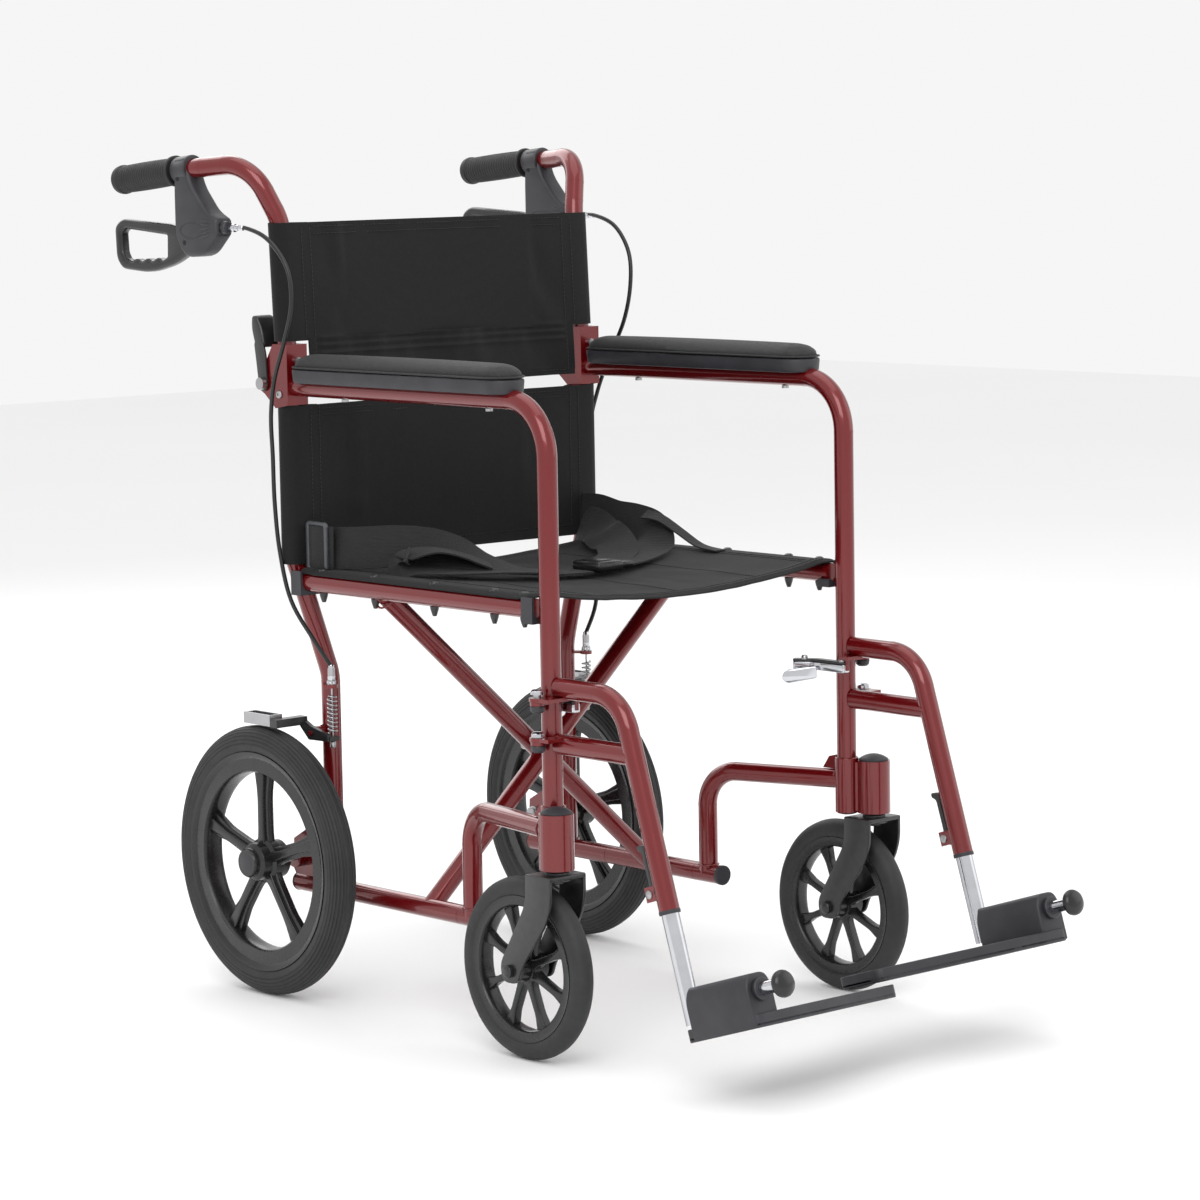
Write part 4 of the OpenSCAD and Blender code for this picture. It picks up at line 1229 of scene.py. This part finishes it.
def slant(down):
    return Matrix.Translation((222, -604, 405)) @ Matrix.Rotation(math.radians(-footSetting["lean"]), 4,
        "X") @ Matrix.Translation((0, 0, -down))


def turned(made, matrix):
    return {"verts": [matrix @ Vector(v) for v in made["verts"]], "faces": made["faces"]}


footplateSetting = {"ribs": 11}


def makeFootplate(name, side):
    s = footplateSetting
    m = slant(footSetting["tube"] + reachOf[name]) @ Matrix.Translation((0, 0, footSetting["barUp"]))
    made = shape()
    section = roundCorners([(-18.6, -37), (18.6, -37), (18.6, 4), (12, 17.6), (-12, 17.6), (-18.6, 4)],
        [3, 3, 12, 12, 12, 12], 6)
    addTo(made, cutPlate([section], 96, 3, lambda u, v, w: Vector((u, -60 + w, v))))
    plate = roundCorners([(17.6, -3), (17.6, -111), (-40, -111), (-234, -65), (-234, -3)],
        [6, 14, 30, 14, 8], 6)
    tray = roundCorners([(-24, -8), (-24, -106), (-41, -106), (-229, -61), (-229, -8)], [4, 8, 26, 10, 4], 6)
    addTo(made, cutPlate([plate], 5.6, 1.2, lambda u, v, w: Vector((u, v, -35.2 + w))))
    addTo(made, cutPlate([plate, tray], 12.6, 1.3, lambda u, v, w: Vector((u, v, -30.4 + w))))
    for k in range(s["ribs"]):
        y = -14 - k * 8.2
        far = -227 if y > -60 else -227 + (-y - 60) * 4.1
        addTo(made, softBox((far, y - 1.9, -33.4), (-25, y + 1.9, -27.0), 1.2, 2))
    made = turned(made, m)
    finishPiece(makePiece("footplate_" + name, made, paints["black_plastic"], side),
        "footplate_" + name, "black_plastic", "footplate_" + name)


def makeKnob(name, side):
    m = slant(footSetting["tube"] + reachOf[name]) @ Matrix.Translation((0, 0,
        footSetting["barUp"])) @ Matrix.Rotation(math.radians(90), 4, "X")
    made = shape()
    addTo(made, lathe([(0, 136.7), (8.4, 136.7), (9, 137.3), (9.2, 138.6), (12.4, 139.3), (13.9, 141),
        (14.3, 143), (14.0, 145), (12.6, 147.4),
                       (9, 149.2), (4.5, 150.5), (0, 150.9)], (0, 0, 0), (0, 0, 1), 48))
    made = turned(made, m)
    finishPiece(makePiece("barKnob_" + name, made, paints["black_gloss"], side, 50),
        "extension_" + name, "black_plastic", "bar_knob_" + name)
    collar = shape()
    addTo(collar, lathe([(7.2, 108.4), (11.5, 108.4), (12, 109.2), (12, 113), (11, 114), (7.2, 114)],
        (0, 0, 0), (0, 0, 1), 32, closed=True))
    collar = turned(collar, m)
    finishPiece(makePiece("barCollar_" + name, collar, paints["black_plastic"], side),
        "extension_" + name, "black_plastic")


def makeHangerDetail(name, side):
    # dark discs: painted shade inside the adjustment holes of the tube
    holes = shape()
    for k in range(6):
        m = slant(96 + k * 22)
        hole = shape()
        addTo(hole, lathe([(0, 11.16), (2.6, 11.16), (3.3, 11.3), (3.6, 10.6)], (0, 0, 0),
            (0.55, 0.83, 0), 18))
        addShape(holes, turned(hole, m))
    finishPiece(makePiece("tubeHoleShade_" + name, holes, paints["hole_shade"], side), "hanger_" + name,
        "black_metal")
    lip = shape()
    addTo(lip, lathe([(9.7, -2.4), (11.3, -2.4), (11.5, -1.6), (11.5, 1.4), (10.9, 2), (9.7, 2)],
                     (0, 0, 0), (0, 0, 1), 40, closed=True))
    lip = turned(lip, slant(footSetting["tube"]))
    finishPiece(makePiece("tubeLip_" + name, lip, paints["black_plastic"], side), "hanger_" + name,
        "black_metal")
    pins = shape()
    for z, top in ((388, 12), (345.5, 9)):
        addTo(pins, lathe([(0, top + 5.6), (5.2, top + 5.2), (7.2, top + 3.4), (7.4, top), (0, top)],
            (245, -497, z), (0, 0, 1), 32))
    finishPiece(makePiece("hingeCaps_" + name, pins, paints["chrome"], side), "frame_" + name, "chrome")
    bush = shape()
    for z in (388, 345.5):
        addTo(bush, lathe([(4.2, -0.2), (7.6, -0.4), (8.2, -1.4), (7.4, -6), (5, -8), (0, -8.2)],
            (245, -497, z), (0, 0, 1), 30))
    finishPiece(makePiece("hingeBushes_" + name, bush, paints["black_plastic"], side), "frame_" + name,
        "black_metal")


latchSetting = {"channel": 9.5, "strip": 3.0, "paddle": 38}


def makeLatch(name, side):
    s = latchSetting
    x, y = 204, -513
    arm = roundCorners([(x - 6, y), (x - 6, y + 44), (x - 22, y + 66), (x - 13, y + 72),
        (x + 4, y + 48), (x + 5, y)], [3, 8, 3, 3, 8, 3], 5)
    made = shape()
    addTo(made, cutPlate([arm], s["channel"], 1.0, lambda u, v, w: Vector((u, v, 382 + w))))
    tongue = roundCorners([(0, -8), (s["paddle"] - 6, -10), (s["paddle"], -2), (s["paddle"] - 4, 8),
        (0, 7)], [2, 8, 6, 6, 2], 6)
    a = math.radians(122)
    way, across = Vector((math.cos(a), math.sin(a), 0)), Vector((math.sin(a), -math.cos(a), 0))
    def curl(u, v, w):
        return Vector((x - 9, y + 40, 376)) + way * u + Vector((0, 0,
            v * 0.9 - 0.12 * u)) + across * (w - 0.010 * u * u)
    addTo(made, cutPlate([tongue], 2.0, 0.6, curl))
    finishPiece(makePiece("latchChannel_" + name, made, paints["chrome"], side), "latch_" + name,
        "chrome", "latch_lever_" + name)
    strip = shape()
    top = [(u * 0.999 + 0.4, v) for u, v in arm]
    addTo(strip, cutPlate([top], s["strip"], 0.8, lambda u, v, w: Vector((u, v, 388.4 + w))))
    finishPiece(makePiece("latchStrip_" + name, strip, paints["black_metal"], side), "latch_" + name,
        "black_metal")
    knobs = shape()
    for dy in (6, 56):
        addTo(knobs, lathe([(0, 394.6), (2.6, 394.3), (3.8, 392.8), (3.9, 389.6), (0, 389.6)],
            (x - 1 - dy * 0.2, y + dy, 0), (0, 0, 1), 20))
    finishPiece(makePiece("latchRivets_" + name, knobs, paints["steel"], side), "latch_" + name, "steel")


def makeHeightLever(name, side):
    m = slant(footSetting["tube"])
    made = shape()
    outline = roundCorners([(12, 17), (12.6, 24), (13.4, 60), (12.6, 73), (24, 75), (25, 70), (19, 66),
        (18.6, 30), (22.4, 24), (22.4, 18)],
                           [4, 4, 4, 2, 2, 2, 3, 3, 4, 4], 5)
    addTo(made, cutPlate([outline], 8.6, 1.4, lambda u, v, w: Vector((w, u, v))))
    made = turned(made, m)
    finishPiece(makePiece("heightLever_" + name, made, paints["black_metal"], side),
        "height_lever_" + name, "black_metal", "height_lever_" + name)
    pin = shape()
    for out in (-1, 1):
        addTo(pin, lathe([(0, 9.6), (3.4, 9.4), (4.6, 8.6), (4.8, 7.6), (0, 7.6)], (0, 17, 22),
            (out, 0, 0), 24))
    pin = turned(pin, m)
    finishPiece(makePiece("heightPin_" + name, pin, paints["steel"], side), "hanger_" + name, "steel")


def weldBead(centre, axis, radius, wire=1.3):
    u, v, _ = basis(axis)
    c = Vector(centre)
    loop = []
    for k in range(73):
        a = 2 * math.pi * k / 72
        r = radius + 0.25 * math.sin(a * 17)
        loop.append(c + u * math.cos(a) * r + v * math.sin(a) * r)
    return sweep(loop, wire, 8, capped=False)


def makeFrameDetail(name, side):
    beads = shape()
    for centre, axis, radius in (((222, -493, 276), (0, 0, 1), 12.2),
            ((222, -480, 251), (0.22, -1, 0.02), 11.6),
                                 ((180, -305, 134.6), (0, 0, 1), 11.4), ((180, -56, 134.6), (0, 0, 1), 11.4),
                                 ((222, -59, 709), (0, 1, 0), 11.4)):
        addTo(beads, weldBead(centre, axis, radius))
    finishPiece(makePiece("weldBeads_" + name, beads, paints["red_paint"], side, 60), "frame_" + name,
        "red_paint")
    plugs = shape()
    addTo(plugs, lathe([(11.4, 10.2), (11.6, 11), (11.2, 12.6), (9, 14), (0, 14.4)], (180, 0, 124),
        (0, 1, 0), 32))
    addTo(plugs, lathe([(11.2, 724.1), (11.3, 725), (9, 726.4), (0, 726.6)], (222, -48, 0), (0, 0, 1), 32))
    addTo(plugs, lathe([(11.2, 213.9), (11.2, 212.6), (8, 211.6), (0, 211.4)], (222, -493, 0), (0, 0, 1), 32))
    finishPiece(makePiece("tubePlugs_" + name, plugs, paints["black_plastic"], side), "frame_" + name,
        "black_plastic")
    bolts = joined(domeBolt((222 + 14.8, -48, 700), (1, 0, 0), 4.6, 2.4),
        hexBolt((172.4, 0, 157.5), (-1, 0, 0), 17, 5, 11))
    finishPiece(makePiece("frameBolts_" + name, bolts, paints["steel"], side), "frame_" + name, "steel")


def makeRailBolts():
    for body, side in (("brace_front", 1), ("brace_rear", -1)):
        made = shape()
        for y in (-102, -196, -300, -402, -452):
            addTo(made, lathe([(0, -10.6), (2.2, -10.4), (3.0, -8.2), (4.8, -2.4), (5.0, 0.4)],
                (222, y, 475.9), (0, 0, 1), 24))
        finishPiece(makePiece("railBolts_" + body, made, paints["black_metal"], side), body, "black_metal")
        heads = shape()
        for y in (-102, -196, -300, -402, -452):
            addTo(heads, lathe([(0, 4.2), (3.2, 3.9), (5.0, 2.6), (5.6, 0)], (222, y, 500.3), (0, 0, 1), 24))
        finishPiece(makePiece("slingRivets_" + body, heads, paints["black_metal"], side), body, "black_metal")
        seams = shape()
        addTo(seams, weldBead((222 * 0.965, -229 if side > 0 else -205, 487 - 11.5), (0.74, 0, 0.67),
            11.6, 1.2))
        finishPiece(makePiece("braceSeam_" + body, seams, paints["red_paint"], side, 60), body, "red_paint")


for name, side in sides.items():
    makeRearWheel(name, side)
    makeFrontWheel(name, side)
    makeFork(name, side)
print("stage: wheels and forks made")
for name, side in sides.items():
    makeGrip(name, side)
    makeBrakeHousing(name, side)
    makeBrakeLever(name, side)
    makeReleaseLever(name, side)
    makeCable(name, side)
    makeSpring(name, side)
print("stage: handles and brakes made")
for name, side in sides.items():
    makeFootplate(name, side)
    makeKnob(name, side)
    makeHangerDetail(name, side)
    makeLatch(name, side)
    makeHeightLever(name, side)
    makeFrameDetail(name, side)
makeRailBolts()
print("stage: footrests and fittings made")
makeSeat()
makeBackUpper()
makeBackLower()
makeBelt()
for name, side in sides.items():
    makeArmBase(name, side)
    makeArmPad(name, side)
print("stage: seat, back, belt and armrests made")
